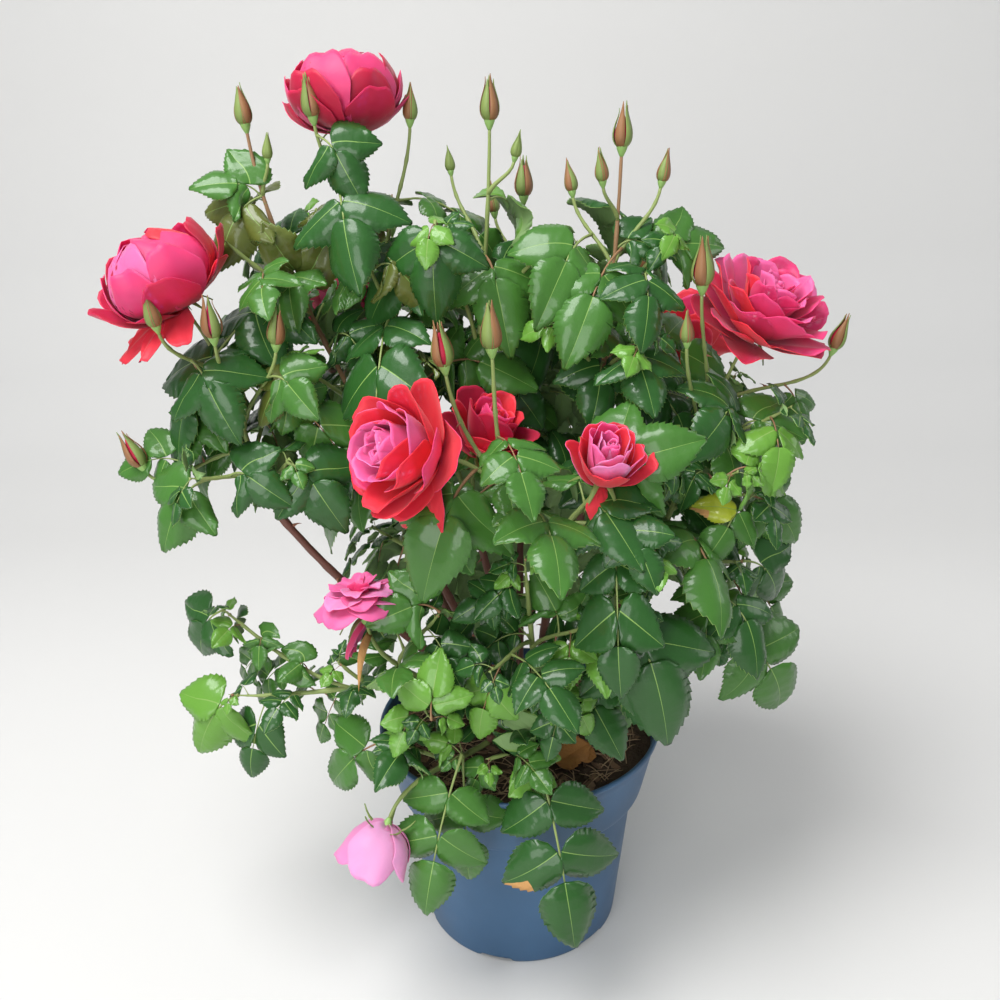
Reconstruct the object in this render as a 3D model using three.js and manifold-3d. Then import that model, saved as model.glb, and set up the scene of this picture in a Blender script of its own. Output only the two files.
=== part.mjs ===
// A bush rose in flower, growing in a round plastic container.
// Millimetres, +Z up. The origin is the centre of the container's flat underside, +X is to the
// viewer's right and +Y is away from the viewer.

import * as THREE from 'three';
import { mergeVertices } from 'three/addons/utils/BufferGeometryUtils.js';
import Module from 'manifold-3d';

const wasm = await Module();
wasm.setup();

// Container: a tapered body under an upright collar with a beaded rim
const POT_HEIGHT = 174;
const POT_RIM_RADIUS = 110;
const POT_BASE_RADIUS = 78;
const POT_WALL = 2.2;
const POT_FLOOR = 5;
const POT_SIDES = 36;
const COLLAR_FOOT = 124;
const COLLAR_FOOT_RADIUS = 98;
const BODY_TOP_RADIUS = 91;
const RIM_BEAD = 3;
const FOOT_NOTCHES = 6;
const FOOT_NOTCH = { width: 26, height: 3.6, depth: 7 };

// Compost and the graft knob that the canes rise from
const GAP = 0.3;
const SOIL_EDGE = 161;
const SOIL_CROWN = 164;
const KNOB_RADIUS = 17;
const KNOB_HEIGHT = 27;
const KNOB_SIDES = 12;

// Stems
const CANE_SIDES = 6;
const CANE_BASE_RADIUS = 3.6;
const CANE_TIP_RADIUS = 2.5;
const STEM_SIDES = 4;
const STEM_RADIUS = 2.2;
const STEM_TIP_RADIUS = 1.2;
const PEDICEL_TIP_RADIUS = 1.1;
const STEP_LENGTH = 48;

// Compound leaves, each one thin blade cut to the rib between its leaflets
const LEAFLET_LENGTH = 42;
const LEAFLET_WIDTH = 0.78;
const LEAFLET_WIDEST = 0.44;
const LEAF_THICKNESS = 1.1;
const LEAF_SAG = 0.006;
const RIB_HALF_WIDTH = 1.2;
const RIB_FOOT_HALF_WIDTH = 0.6;
const LEAF_SPANS = { 3: 40, 5: 66 };
const PAIRS = { 3: [[0.64, 0.9]], 5: [[0.36, 0.78], [0.76, 0.9]] };
const PAIR_ANGLE = THREE.MathUtils.degToRad(64);
const LEAF_SPACING = 50;
const GOLDEN_ANGLE = 137.5;
const TRIES = 14;
const FACE_MIDDLE = 70;
const FACE_SPREAD = 0.25;
const FACE_OUTWARD = 0.15;
const HANG = 0.25;
const MOST_BLADE = 0.66;

// Clearances that keep leaves out of each other, the stems and the pot
const BLADE_ROOM = 3;
const STALK_ROOM = 1.5;
const CELL = 10;

// How far a mass's surface may move where nearly flat faces are joined into one
const FACE_TOLERANCE = 0.14;

// Blooms, as shares of the bloom's width: how far along its axis, and how far out
const BLOOM_SIDES = 10;
const BLOOM_DEPTH = 0.34;
const BLOOM_RINGS = [
  [-0.35, 0.06],
  [-0.24, 0.2],
  [-0.03, 0.42],
  [0.12, 0.44],
  [0.22, 0.3],
];
const BLOOM_CROWN = 0.3;
const OUTER_PETALS = 5;
const PETAL_RUFFLE = 0.13;
const PETAL_TIPS = 0.16;
const BUD_SIDES = 4;
const BUD_RINGS = [
  [0.1, 0.15],
  [0.26, 0.11],
  [0.52, 0.2],
];

const UP = new THREE.Vector3(0, 0, 1);
const DOWN = new THREE.Vector3(0, 0, -1);
const MARK_LEAN = new THREE.Vector3(0, -0.7, 0);
const KNOB_CENTRE = new THREE.Vector3(0, 0, SOIL_CROWN + GAP + 9);

// The canes, each from the knob to the fork where its foliage begins. rise is the steepness in
// degrees at the knob, and bow is how far the cane keeps that heading before it turns.
const CANES = [
  { name: 'cane_left', tip: [-163, -44, 368], heading: 188, rise: 42, bow: 0.3 },
  { name: 'cane_top_left', tip: [-78, 14, 340], heading: 160, rise: 58, bow: 0.35 },
  { name: 'cane_top', tip: [-36, 34, 352], heading: 100, rise: 72, bow: 0.3 },
  { name: 'cane_centre', tip: [26, -66, 362], heading: 304, rise: 60, bow: 0.3 },
  { name: 'cane_top_right', tip: [50, 24, 338], heading: 30, rise: 60, bow: 0.35 },
  { name: 'cane_right', tip: [100, -12, 318], heading: 348, rise: 48, bow: 0.3 },
  { name: 'cane_left_low', tip: [-72, -52, 238], heading: 224, rise: 26, bow: 0.35 },
  { name: 'cane_front', tip: [14, -52, 236], heading: 272, rise: 34, bow: 0.35 },
  { name: 'cane_front_low', tip: [-22, -66, 199], heading: 246, rise: 8, bow: 0.35 },
  { name: 'cane_back_left', tip: [-78, 66, 290], heading: 142, rise: 34, bow: 0.35 },
  { name: 'cane_back', tip: [4, 84, 300], heading: 88, rise: 40, bow: 0.35 },
  { name: 'cane_back_right', tip: [82, 62, 284], heading: 36, rise: 32, bow: 0.35 },
];

// The masses of foliage. The first shoot of a mass is its stem, and the others leave it at the
// share of its length called from. tip is where a shoot ends, or a bloom's centre. A bloom has a
// width and a facing, a bud has a length, and a shoot with neither ends in leaves. leaves says how
// many leaves a shoot has where its length doesn't, and size how large they are. marks are the
// leaves that stand out: each leaves its shoot at a share of its length, and tip is the tip of its
// end leaflet.
const MASSES = [
  { name: 'foliage_front', cane: 'cane_front_low', seed: 25, shoots: [
    { tip: [11, -105, 212], leaves: 1, size: 0.6, marks: [
      { at: 1, tip: [35, -160, 90], size: 1.2, leaflets: 5 },
    ] },
    { from: 0.5, tip: [-24, -112, 214], leaves: 2, size: 0.55 },
  ] },
  { name: 'foliage_front_left', cane: 'cane_front_low', seed: 24, shoots: [
    { tip: [-96, -142, 166], bloom: 62, facing: [-0.35, -0.3, -0.88], leaves: 0 },
    { from: 0.2, tip: [-40, -112, 218], leaves: 1, size: 0.8, marks: [
      { at: 1, tip: [-68, -158, 118], leaflets: 5 },
      { at: 0.7, tip: [-38, -134, 122], size: 0.9 },
    ] },
    { from: 0.3, tip: [-88, -88, 214], leaves: 1, size: 0.8, marks: [
      { at: 1, tip: [-142, -80, 168], size: 0.9 },
    ] },
  ] },
  { name: 'foliage_heart', cane: 'cane_front', seed: 22, shoots: [
    { tip: [4, -96, 356], size: 0.75 },
    { from: 0.34, tip: [-20, -126, 290], size: 0.75 },
    { from: 0.2, tip: [30, -124, 262], size: 0.7 },
    { from: 0.3, tip: [44, -104, 310], size: 0.65 },
  ] },
  { name: 'foliage_heart_right', cane: 'cane_front', seed: 23, shoots: [
    { tip: [80, -96, 332], size: 0.8, marks: [
      { at: 0.6, tip: [56, -132, 282], size: 0.75 },
      { at: 0.8, tip: [101, -140, 238], size: 1.4 },
    ] },
    { from: 0.4, tip: [98, -90, 290], size: 0.8 },
    { from: 0.3, tip: [112, -52, 262], leaves: 1, size: 0.6 },
  ] },
  { name: 'foliage_heart_left', cane: 'cane_left_low', seed: 21, shoots: [
    { tip: [-104, -86, 322], bloom: 54, facing: [-0.15, 0.05, 0.98], leaves: 0 },
    { from: 0.4, tip: [-52, -90, 314], size: 0.8, marks: [{ at: 1, tip: [-100, -104, 312], size: 0.8 }] },
    { from: 0.3, tip: [-58, -125, 254], size: 0.65, marks: [{ at: 1, tip: [-51, -114, 300], size: 0.85 }] },
  ] },
  { name: 'foliage_left_low', cane: 'cane_left_low', seed: 20, shoots: [
    { tip: [-204, -74, 244], leaves: 3, size: 0.6, marks: [
      { at: 0.95, tip: [-236, -80, 196], size: 1.1 },
    ] },
    { from: 0.35, tip: [-214, -42, 298], leaves: 3, size: 0.6, marks: [
      { at: 0.95, tip: [-242, -40, 252], size: 0.9 },
    ] },
    { from: 0.22, tip: [-128, -62, 262], leaves: 2, size: 0.6 },
  ] },
  { name: 'foliage_left', cane: 'cane_left', seed: 11, shoots: [
    { tip: [-226, -20, 520], bloom: 88, facing: [-0.45, -0.2, 0.87] },
    { from: 0.66, tip: [-222, -60, 508], bud: 22, leaves: 0, marks: [{ at: 0.5, tip: [-181, -76, 430] }] },
    { from: 0.56, tip: [-190, -52, 500], bud: 26, leaves: 0 },
    { from: 0.42, tip: [-154, -42, 492], bud: 24, leaves: 1, marks: [{ at: 0.7, tip: [-127, -64, 440] }] },
    { from: 0.3, tip: [-252, -36, 410], bud: 26, leaves: 0, marks: [
      { at: 0.5, tip: [-276, -36, 398], size: 0.7 },
    ] },
    { from: 0.16, tip: [-212, -70, 404], leaves: 0, marks: [
      { at: 0.75, tip: [-240, -82, 358], size: 1.15 },
      { at: 0.5, tip: [-150, -76, 387] },
    ] },
    { from: 0.24, tip: [-176, 10, 430] },
    { from: 0.1, tip: [-150, -52, 410], leaves: 1, marks: [{ at: 0.9, tip: [-114, -66, 360], size: 1.1 }] },
  ] },
  { name: 'foliage_top_left', cane: 'cane_top_left', seed: 12, shoots: [
    { tip: [-173, 20, 624], bud: 24, marks: [
      { at: 0.84, tip: [-211, 5, 582], size: 0.75 },
      { at: 0.86, tip: [-200, -5, 530], size: 0.9 },
      { at: 0.6, tip: [-163, -10, 551] },
      { at: 0.66, tip: [-150, -24, 496], size: 0.9 },
    ] },
    { from: 0.86, tip: [-160, 14, 600], bud: 15, leaves: 0 },
    { from: 0.56, tip: [-192, -2, 548], marks: [{ at: 0.2, tip: [-178, -24, 461] }] },
    { from: 0.28, tip: [-140, -34, 470] },
    { from: 0.6, tip: [-138, 58, 560] },
  ] },
  { name: 'foliage_top', cane: 'cane_top', seed: 13, shoots: [
    { tip: [-110, 40, 634], bloom: 86, facing: [-0.05, 0.1, 0.99], cup: 0.94 },
    { from: 0.74, tip: [-126, 6, 628], bud: 24, leaves: 0, marks: [
      { at: 0.92, tip: [-97, -14, 570], size: 0.9 },
      { at: 0.55, tip: [-102, -42, 520], size: 1.15 },
    ] },
    { from: 0.62, tip: [-68, 44, 624], bud: 22, leaves: 1 },
    { from: 0.44, tip: [-98, -18, 540] },
    { from: 0.24, tip: [-62, -30, 462] },
  ] },
  { name: 'foliage_top_middle', cane: 'cane_top', seed: 14, shoots: [
    { tip: [-14, 30, 624], bud: 26, marks: [{ at: 0.68, tip: [-4, -26, 480], size: 1.15 }] },
    { from: 0.84, tip: [2, 24, 598], bud: 16, leaves: 0 },
    { from: 0.66, tip: [-42, 62, 588], bud: 16, leaves: 0 },
    { from: 0.48, tip: [24, 4, 540] },
    { from: 0.4, tip: [-50, -8, 556], marks: [{ at: 1, tip: [-53, -38, 499], size: 1.1 }] },
  ] },
  { name: 'foliage_top_right', cane: 'cane_top_right', seed: 15, shoots: [
    { tip: [73, 20, 606], bud: 26, marks: [{ at: 0.76, tip: [108, 10, 532], size: 0.8 }] },
    { from: 0.84, tip: [60, 8, 584], bud: 20, leaves: 0 },
    { from: 0.7, tip: [42, 34, 576], bud: 20, leaves: 0, marks: [
      { at: 0.5, tip: [18, -36, 498], size: 1.1 },
    ] },
    { from: 0.72, tip: [100, 22, 582], bud: 20, leaves: 0, marks: [
      { at: 0.2, tip: [36, -48, 472], size: 1.15 },
    ] },
    { from: 0.56, tip: [112, 12, 540], marks: [{ at: 0.7, tip: [149, 26, 534], size: 0.8 }] },
    { from: 0.36, tip: [34, -20, 490] },
    { from: 0.56, tip: [104, 66, 524] },
    { from: 0.4, tip: [86, -30, 480], marks: [{ at: 0.6, tip: [91, -58, 440] }] },
  ] },
  { name: 'foliage_right', cane: 'cane_right', seed: 16, shoots: [
    { tip: [173, 10, 494], bloom: 92, facing: [0.3, -0.34, 0.88] },
    { from: 0.56, tip: [124, -16, 522], bud: 30, leaves: 0 },
    { from: 0.46, tip: [112, -36, 486], bud: 20, leaves: 0 },
    { from: 0.66, tip: [228, 30, 466], bud: 24, leaves: 0, marks: [
      { at: 0.55, tip: [212, 6, 396], size: 0.8 },
    ] },
    { from: 0.42, tip: [190, -16, 430], marks: [{ at: 0.5, tip: [198, -24, 412] }] },
    { from: 0.24, tip: [146, -58, 398], size: 0.75 },
    { from: 0.5, tip: [170, 70, 430] },
    { from: 0.2, tip: [180, -20, 370], leaves: 0, marks: [{ at: 0.65, tip: [211, -16, 328] }] },
  ] },
  { name: 'foliage_right_low', cane: 'cane_right', seed: 17, shoots: [
    { tip: [162, -26, 318], size: 0.9, marks: [{ at: 1, tip: [202, -18, 280], size: 0.9 }] },
    { from: 0.36, tip: [150, -56, 278], size: 0.9, marks: [{ at: 0.9, tip: [206, -40, 196], size: 1.2 }] },
    { from: 0.5, tip: [168, 30, 290], leaves: 0, marks: [{ at: 0.9, tip: [218, 10, 224] }] },
  ] },
  { name: 'foliage_centre_left', cane: 'cane_centre', seed: 18, shoots: [
    { tip: [-71, -112, 433], bloom: 92, facing: [-0.74, -0.6, 0.3], leaves: 1, marks: [
      { at: 0.7, tip: [-62, -136, 348], size: 1.3 },
    ] },
    { from: 0.44, tip: [-42, -92, 488], bud: 26, leaves: 0 },
    { from: 0.34, tip: [-14, -88, 498], bud: 28, leaves: 1 },
    { from: 0.28, tip: [-16, -38, 428], bloom: 72, facing: [0.4, -0.25, 0.88], leaves: 0 },
  ] },
  { name: 'foliage_centre_right', cane: 'cane_centre', seed: 19, shoots: [
    { tip: [56, -84, 415], bloom: 58, facing: [0.12, -0.5, 0.86], cup: 0.86, leaves: 1, marks: [
      { at: 0.5, tip: [74, -124, 366] },
    ] },
    { from: 0.3, tip: [96, -66, 412], marks: [{ at: 0.35, tip: [118, -80, 428], size: 1.2 }] },
    { from: 0.16, tip: [88, -92, 356], size: 0.8 },
  ] },
  { name: 'foliage_back_left', cane: 'cane_back_left', seed: 26, shoots: [
    { tip: [-130, 132, 486], bloom: 84, facing: [-0.35, 0.6, 0.7] },
    { from: 0.6, tip: [-92, 118, 546], bud: 24, leaves: 0 },
    { from: 0.34, tip: [-178, 84, 428] },
    { from: 0.44, tip: [-96, 156, 440] },
  ] },
  { name: 'foliage_back_left_low', cane: 'cane_back_left', seed: 27, shoots: [
    { tip: [-120, 96, 300], size: 0.9 },
    { from: 0.34, tip: [-90, 134, 280] },
  ] },
  { name: 'foliage_back', cane: 'cane_back', seed: 28, shoots: [
    { tip: [10, 112, 570], bud: 28 },
    { from: 0.8, tip: [-12, 122, 556], bud: 22, leaves: 0 },
    { from: 0.3, tip: [56, 156, 470] },
    { from: 0.4, tip: [-44, 158, 490] },
    { from: 0.55, tip: [50, 96, 530] },
  ] },
  { name: 'foliage_back_low', cane: 'cane_back', seed: 29, shoots: [
    { tip: [-6, 176, 348] },
    { from: 0.3, tip: [50, 150, 280] },
    { from: 0.36, tip: [-50, 150, 290] },
  ] },
  { name: 'foliage_back_right', cane: 'cane_back_right', seed: 30, shoots: [
    { tip: [134, 136, 452], bloom: 86, facing: [0.4, 0.6, 0.7] },
    { from: 0.6, tip: [104, 118, 512], bud: 26, leaves: 0 },
    { from: 0.34, tip: [180, 90, 392] },
    { from: 0.42, tip: [96, 158, 414] },
  ] },
  { name: 'foliage_back_right_low', cane: 'cane_back_right', seed: 31, shoots: [
    { tip: [146, 88, 290] },
    { from: 0.36, tip: [100, 136, 270] },
  ] },
];

// Finishes: plain colours of the real surfaces
const FINISHES = {
  pot: { color: 0x42516c, roughness: 0.5, metalness: 0 },
  soil: { color: 0x3a2a20, roughness: 0.95, metalness: 0 },
  knob: { color: 0x5e4532, roughness: 0.85, metalness: 0 },
  cane: { color: 0x6b4a35, roughness: 0.6, metalness: 0 },
  foliage: { color: 0x2d5a36, roughness: 0.45, metalness: 0 },
};

const toRadians = THREE.MathUtils.degToRad;
const point = (place) => new THREE.Vector3(...place);

function seededRandom(seed) {
  let state = seed >>> 0;
  return () => {
    state = (state + 0x6d2b79f5) >>> 0;
    let mixed = Math.imul(state ^ (state >>> 15), state | 1);
    mixed ^= mixed + Math.imul(mixed ^ (mixed >>> 7), mixed | 61);
    return ((mixed ^ (mixed >>> 14)) >>> 0) / 4294967296;
  };
}

// Part of a vector that is square to an axis, made one long
function squareTo(vector, axis) {
  return vector.clone().addScaledVector(axis, -vector.dot(axis)).normalize();
}

function toSolid(geometry) {
  const bare = geometry.clone();
  bare.deleteAttribute('normal');
  bare.deleteAttribute('uv');
  const merged = mergeVertices(bare, 1e-3);
  const faces = [];
  const index = merged.index.array;
  for (let i = 0; i < index.length; i += 3) {
    const [a, b, c] = [index[i], index[i + 1], index[i + 2]];
    if (a !== b && b !== c && c !== a) {
      faces.push(a, b, c);
    }
  }
  const vertProperties = new Float32Array(merged.attributes.position.array);
  return new wasm.Manifold(new wasm.Mesh({ numProp: 3, vertProperties, triVerts: new Uint32Array(faces) }));
}

function toGeometry(solid) {
  const mesh = solid.getMesh();
  const geometry = new THREE.BufferGeometry();
  geometry.setAttribute('position', new THREE.BufferAttribute(mesh.vertProperties, 3));
  geometry.setIndex(new THREE.BufferAttribute(mesh.triVerts, 1));
  return geometry;
}

// The one body that matters: what a cut leaves loose is dropped
function largestBody(solid) {
  const bodies = solid.decompose();
  return bodies.reduce((best, body) => (body.volume() > best.volume() ? body : best));
}

// Corners nearer than a micron become one, and what hung on such a corner alone is dropped
function welded(solid) {
  return largestBody(toSolid(toGeometry(solid)));
}

function moveVertices(geometry, place) {
  const position = geometry.attributes.position;
  const vertex = new THREE.Vector3();
  for (let i = 0; i < position.count; i += 1) {
    vertex.fromBufferAttribute(position, i);
    const moved = place(vertex);
    position.setXYZ(i, moved.x, moved.y, moved.z);
  }
  return geometry;
}

// A regular outline with its corners one unit out
function ringShape(sides) {
  const corners = [];
  for (let i = 0; i < sides; i += 1) {
    const angle = (2 * Math.PI * i) / sides;
    corners.push(new THREE.Vector2(Math.cos(angle), Math.sin(angle)));
  }
  return new THREE.Shape(corners);
}

// A tapering limb along a curve, its section kept upright against a reference direction
function limb(curve, startRadius, endRadius, sides, steps, reference) {
  const bar = new THREE.ExtrudeGeometry(ringShape(sides), { depth: 1, steps, bevelEnabled: false });
  return moveVertices(bar, (vertex) => {
    const tangent = curve.getTangent(vertex.z);
    const side = squareTo(reference, tangent);
    const across = new THREE.Vector3().crossVectors(tangent, side);
    const radius = THREE.MathUtils.lerp(startRadius, endRadius, vertex.z);
    return curve.getPoint(vertex.z)
      .addScaledVector(side, radius * vertex.x)
      .addScaledVector(across, radius * vertex.y);
  });
}

// A turned body whose profile runs from axis to axis along +Z
function turned(profile, sides) {
  const lathe = new THREE.LatheGeometry(profile.map(([out, along]) => new THREE.Vector2(out, along)), sides);
  return lathe.rotateX(Math.PI / 2);
}

// Pot

function potOutline() {
  return [
    [0, 0],
    [POT_BASE_RADIUS - 1.5, 0],
    [POT_BASE_RADIUS, 1.5],
    [BODY_TOP_RADIUS, COLLAR_FOOT - 1],
    [COLLAR_FOOT_RADIUS, COLLAR_FOOT],
    [POT_RIM_RADIUS - 2, POT_HEIGHT - RIM_BEAD - 1.5],
    [POT_RIM_RADIUS, POT_HEIGHT - RIM_BEAD],
    [POT_RIM_RADIUS, POT_HEIGHT],
    [POT_RIM_RADIUS - RIM_BEAD, POT_HEIGHT],
  ];
}

// The inside of the wall from the rim down to the floor, moved in by a clearance
function potLining(clearance) {
  const inset = POT_WALL + clearance;
  return [
    [POT_RIM_RADIUS - 2 - inset, POT_HEIGHT - RIM_BEAD - 1.5],
    [COLLAR_FOOT_RADIUS + 0.5 - inset, COLLAR_FOOT + 2],
    [BODY_TOP_RADIUS - inset, COLLAR_FOOT - 1 - inset / 3],
    [POT_BASE_RADIUS + 0.4 - inset, POT_FLOOR + clearance],
    [0, POT_FLOOR + clearance],
  ];
}

function makePot() {
  let pot = toSolid(turned([...potOutline(), ...potLining(0)], POT_SIDES));
  for (let i = 0; i < FOOT_NOTCHES; i += 1) {
    const notch = new THREE.BoxGeometry(FOOT_NOTCH.depth, FOOT_NOTCH.width, FOOT_NOTCH.height * 2);
    notch.translate(POT_BASE_RADIUS, 0, 0);
    notch.rotateZ(toRadians(254) + (2 * Math.PI * i) / FOOT_NOTCHES);
    pot = pot.subtract(toSolid(notch));
  }
  return pot;
}

function makeSoil() {
  const lining = potLining(GAP).reverse();
  const [wall] = lining.slice(-2);
  const top = lining[lining.length - 1];
  const share = (SOIL_EDGE - wall[1]) / (top[1] - wall[1]);
  const edge = THREE.MathUtils.lerp(wall[0], top[0], share);
  const surface = [
    [edge, SOIL_EDGE],
    [KNOB_RADIUS + 9, SOIL_CROWN],
    [0, SOIL_CROWN],
  ];
  return toSolid(turned([...lining.slice(0, -1), ...surface], POT_SIDES));
}

// The knob: flared at its flat foot on the compost, lumpy above
function knobGeometry(growth) {
  const foot = SOIL_CROWN + GAP - growth;
  const profile = [
    [0, foot],
    [KNOB_RADIUS + 4 + growth, foot],
    [KNOB_RADIUS + growth, foot + 6 + growth],
    [KNOB_RADIUS * 0.88 + growth, foot + 17 + growth],
    [KNOB_RADIUS * 0.5 + growth, foot + 24 + growth],
    [0, foot + KNOB_HEIGHT + 2 * growth],
  ];
  return turned(profile, KNOB_SIDES);
}

// Canes and shoots

function referenceFor(curve) {
  const chord = curve.getPoint(1).sub(curve.getPoint(0)).normalize();
  return Math.abs(chord.y) < 0.75 ? new THREE.Vector3(0, 1, 0) : new THREE.Vector3(1, 0, 0);
}

function caneCurve(cane) {
  const heading = toRadians(cane.heading);
  const rise = toRadians(cane.rise);
  const leave = new THREE.Vector3(
    Math.cos(heading) * Math.cos(rise),
    Math.sin(heading) * Math.cos(rise),
    Math.sin(rise),
  );
  const start = KNOB_CENTRE.clone().addScaledVector(leave, KNOB_RADIUS * 0.55);
  const tip = point(cane.tip);
  const span = start.distanceTo(tip);
  const arrive = tip.clone().sub(start).normalize().add(UP.clone().multiplyScalar(0.35)).normalize();
  return new THREE.CubicBezierCurve3(
    start,
    start.clone().addScaledVector(leave, span * cane.bow),
    tip.clone().addScaledVector(arrive, -span * 0.3),
    tip,
  );
}

// Where a shoot's wood ends: at its tip, or at the foot of its bloom or bud
function shootEnd(shoot) {
  if (shoot.bloom) {
    return point(shoot.tip).addScaledVector(point(shoot.facing).normalize(), -shoot.bloom * BLOOM_DEPTH);
  }
  if (shoot.bud) {
    return point(shoot.tip).addScaledVector(UP, -shoot.bud * 0.5);
  }
  return point(shoot.tip);
}

function shootCurve(start, heading, shoot) {
  const end = shootEnd(shoot);
  const span = start.distanceTo(end);
  const toEnd = end.clone().sub(start).normalize();
  const leave = heading.clone().multiplyScalar(0.55).addScaledVector(toEnd, 0.6).normalize();
  let arrive = toEnd.clone().addScaledVector(UP, 0.15).normalize();
  if (shoot.bloom) {
    arrive = point(shoot.facing).normalize();
  } else if (shoot.bud) {
    arrive = toEnd.clone().multiplyScalar(0.35).addScaledVector(UP, 0.8).normalize();
  }
  return new THREE.CubicBezierCurve3(
    start,
    start.clone().addScaledVector(leave, span * 0.36),
    end.clone().addScaledVector(arrive, -span * 0.34),
    end,
  );
}

// Masses that share a fork start a little to either side of the cane's cut end
function massStart(mass, cane) {
  const tangent = cane.curve.getTangent(1);
  const tip = cane.curve.getPoint(1);
  const end = shootEnd(mass.shoots[0]);
  const sharers = MASSES.filter((other) => other.cane === mass.cane).length;
  const toEnd = end.sub(tip).normalize();
  if (sharers === 1) {
    return { start: tip.addScaledVector(tangent, -1), heading: tangent };
  }
  const aside = squareTo(toEnd, tangent);
  const heading = tangent.clone().multiplyScalar(0.5).addScaledVector(toEnd, 0.8).normalize();
  return { start: tip.addScaledVector(aside, CANE_TIP_RADIUS + 0.4).addScaledVector(tangent, -3), heading };
}

function placeShoots(mass, cane) {
  const { start, heading } = massStart(mass, cane);
  const leader = shootCurve(start, heading, mass.shoots[0]);
  return mass.shoots.map((shoot, order) => {
    let curve = leader;
    if (order > 0) {
      curve = shootCurve(leader.getPoint(shoot.from), leader.getTangent(shoot.from), shoot);
    }
    return { ...shoot, curve, length: curve.getLength(), order };
  });
}

// Room taken: points with a clearance, kept in cells so that neighbours are found quickly

const takenCells = new Map();

function cellKey(x, y, z) {
  return `${x},${y},${z}`;
}

function takeRoom(place, room, owner) {
  const key = cellKey(Math.floor(place.x / CELL), Math.floor(place.y / CELL), Math.floor(place.z / CELL));
  if (!takenCells.has(key)) {
    takenCells.set(key, []);
  }
  takenCells.get(key).push({ place, room, owner });
}

function takeRoomAlong(curve, room, owner) {
  const steps = Math.ceil(curve.getLength() / 5);
  for (let i = 0; i <= steps; i += 1) {
    takeRoom(curve.getPoint(i / steps), room, owner);
  }
}

function roomIsFree(place, room, owner) {
  const [cx, cy, cz] = [place.x, place.y, place.z].map((value) => Math.floor(value / CELL));
  for (let x = cx - 1; x <= cx + 1; x += 1) {
    for (let y = cy - 1; y <= cy + 1; y += 1) {
      for (let z = cz - 1; z <= cz + 1; z += 1) {
        for (const other of takenCells.get(cellKey(x, y, z)) ?? []) {
          if (other.owner !== owner && place.distanceTo(other.place) < room + other.room) {
            return false;
          }
        }
      }
    }
  }
  return true;
}

function clearOfPot(place) {
  const out = Math.hypot(place.x, place.y);
  if (place.z < 8) {
    return false;
  }
  if (out < POT_RIM_RADIUS - 10) {
    return place.z > SOIL_CROWN + 6;
  }
  return out > POT_RIM_RADIUS + 4 || place.z > POT_HEIGHT + 4;
}

// Blooms and their open faces are kept free of leaves
const bloomBalls = [];

function clearOfBlooms(place) {
  return bloomBalls.every((ball) => place.distanceTo(ball.centre) > ball.radius);
}

// Compound leaves. A leaf is laid out flat, x along its rib and y to the side, then bent.

// The leaflets: one at the rib's end, and the pairs, each given as [share of the rib, size]
function layLeaflets(count, span, full) {
  const leaflets = [{ x: span, y: 0, angle: 0, length: full }];
  for (const [share, scale] of PAIRS[count]) {
    for (const hand of [-1, 1]) {
      leaflets.push({
        x: span * share,
        y: hand * RIB_HALF_WIDTH,
        angle: hand * PAIR_ANGLE,
        length: full * scale,
      });
    }
  }
  return leaflets;
}

// A place on a leaflet: u from its foot to its tip, v from its midrib to its edge
function leafletSpot(leaflet, u, v) {
  const along = leaflet.length * u;
  const aside = ((leaflet.length * LEAFLET_WIDTH) / 2) * v;
  const [cosine, sine] = [Math.cos(leaflet.angle), Math.sin(leaflet.angle)];
  return [leaflet.x + along * cosine - aside * sine, leaflet.y + along * sine + aside * cosine];
}

function leafPoint(leaf, x, y, lift) {
  const share = Math.min(x / leaf.span, 1);
  const tangent = leaf.curve.getTangent(share);
  const face = squareTo(leaf.facing, tangent);
  const side = new THREE.Vector3().crossVectors(face, tangent);
  const beyond = Math.max(0, x - leaf.span);
  const sag = LEAF_SAG * (y * y + beyond * beyond);
  return leaf.curve.getPoint(share)
    .addScaledVector(tangent, beyond)
    .addScaledVector(side, y)
    .addScaledVector(face, lift - sag);
}

// The flat outline: up one side of the rib, round the end leaflet and down the other side
function leafOutline(leaf) {
  const [last, ...pairs] = leaf.leaflets;
  const down = pairs.filter((leaflet) => leaflet.angle < 0);
  const lower = [[0, -RIB_FOOT_HALF_WIDTH]];
  for (const leaflet of down) {
    lower.push([leaflet.x - RIB_HALF_WIDTH, leaflet.y]);
    lower.push(leafletSpot(leaflet, LEAFLET_WIDEST, -1));
    lower.push(leafletSpot(leaflet, 1, 0));
    lower.push(leafletSpot(leaflet, LEAFLET_WIDEST, 1));
  }
  lower.push(leafletSpot(last, LEAFLET_WIDEST, -1));
  const upper = lower.map(([x, y]) => [x, -y]).reverse();
  return [...lower, leafletSpot(last, 1, 0), ...upper].map(([x, y]) => new THREE.Vector2(x, y));
}

const BLADE_SAMPLES = [
  [0.2, 0], [0.45, 0], [0.7, 0], [0.97, 0],
  [0.4, 0.8], [0.4, -0.8], [0.7, 0.5], [0.7, -0.5],
];

// A leaf faces up and outwards, away from the plant's middle
function facingAt(foot, leave, lean) {
  const outward = new THREE.Vector3(leave.x, leave.y, 0).normalize();
  const away = new THREE.Vector3(foot.x * FACE_SPREAD, foot.y - FACE_MIDDLE, 0).normalize();
  return UP.clone().multiplyScalar(0.75)
    .addScaledVector(outward, FACE_OUTWARD)
    .addScaledVector(away, 0.75)
    .add(lean)
    .normalize();
}

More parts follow.
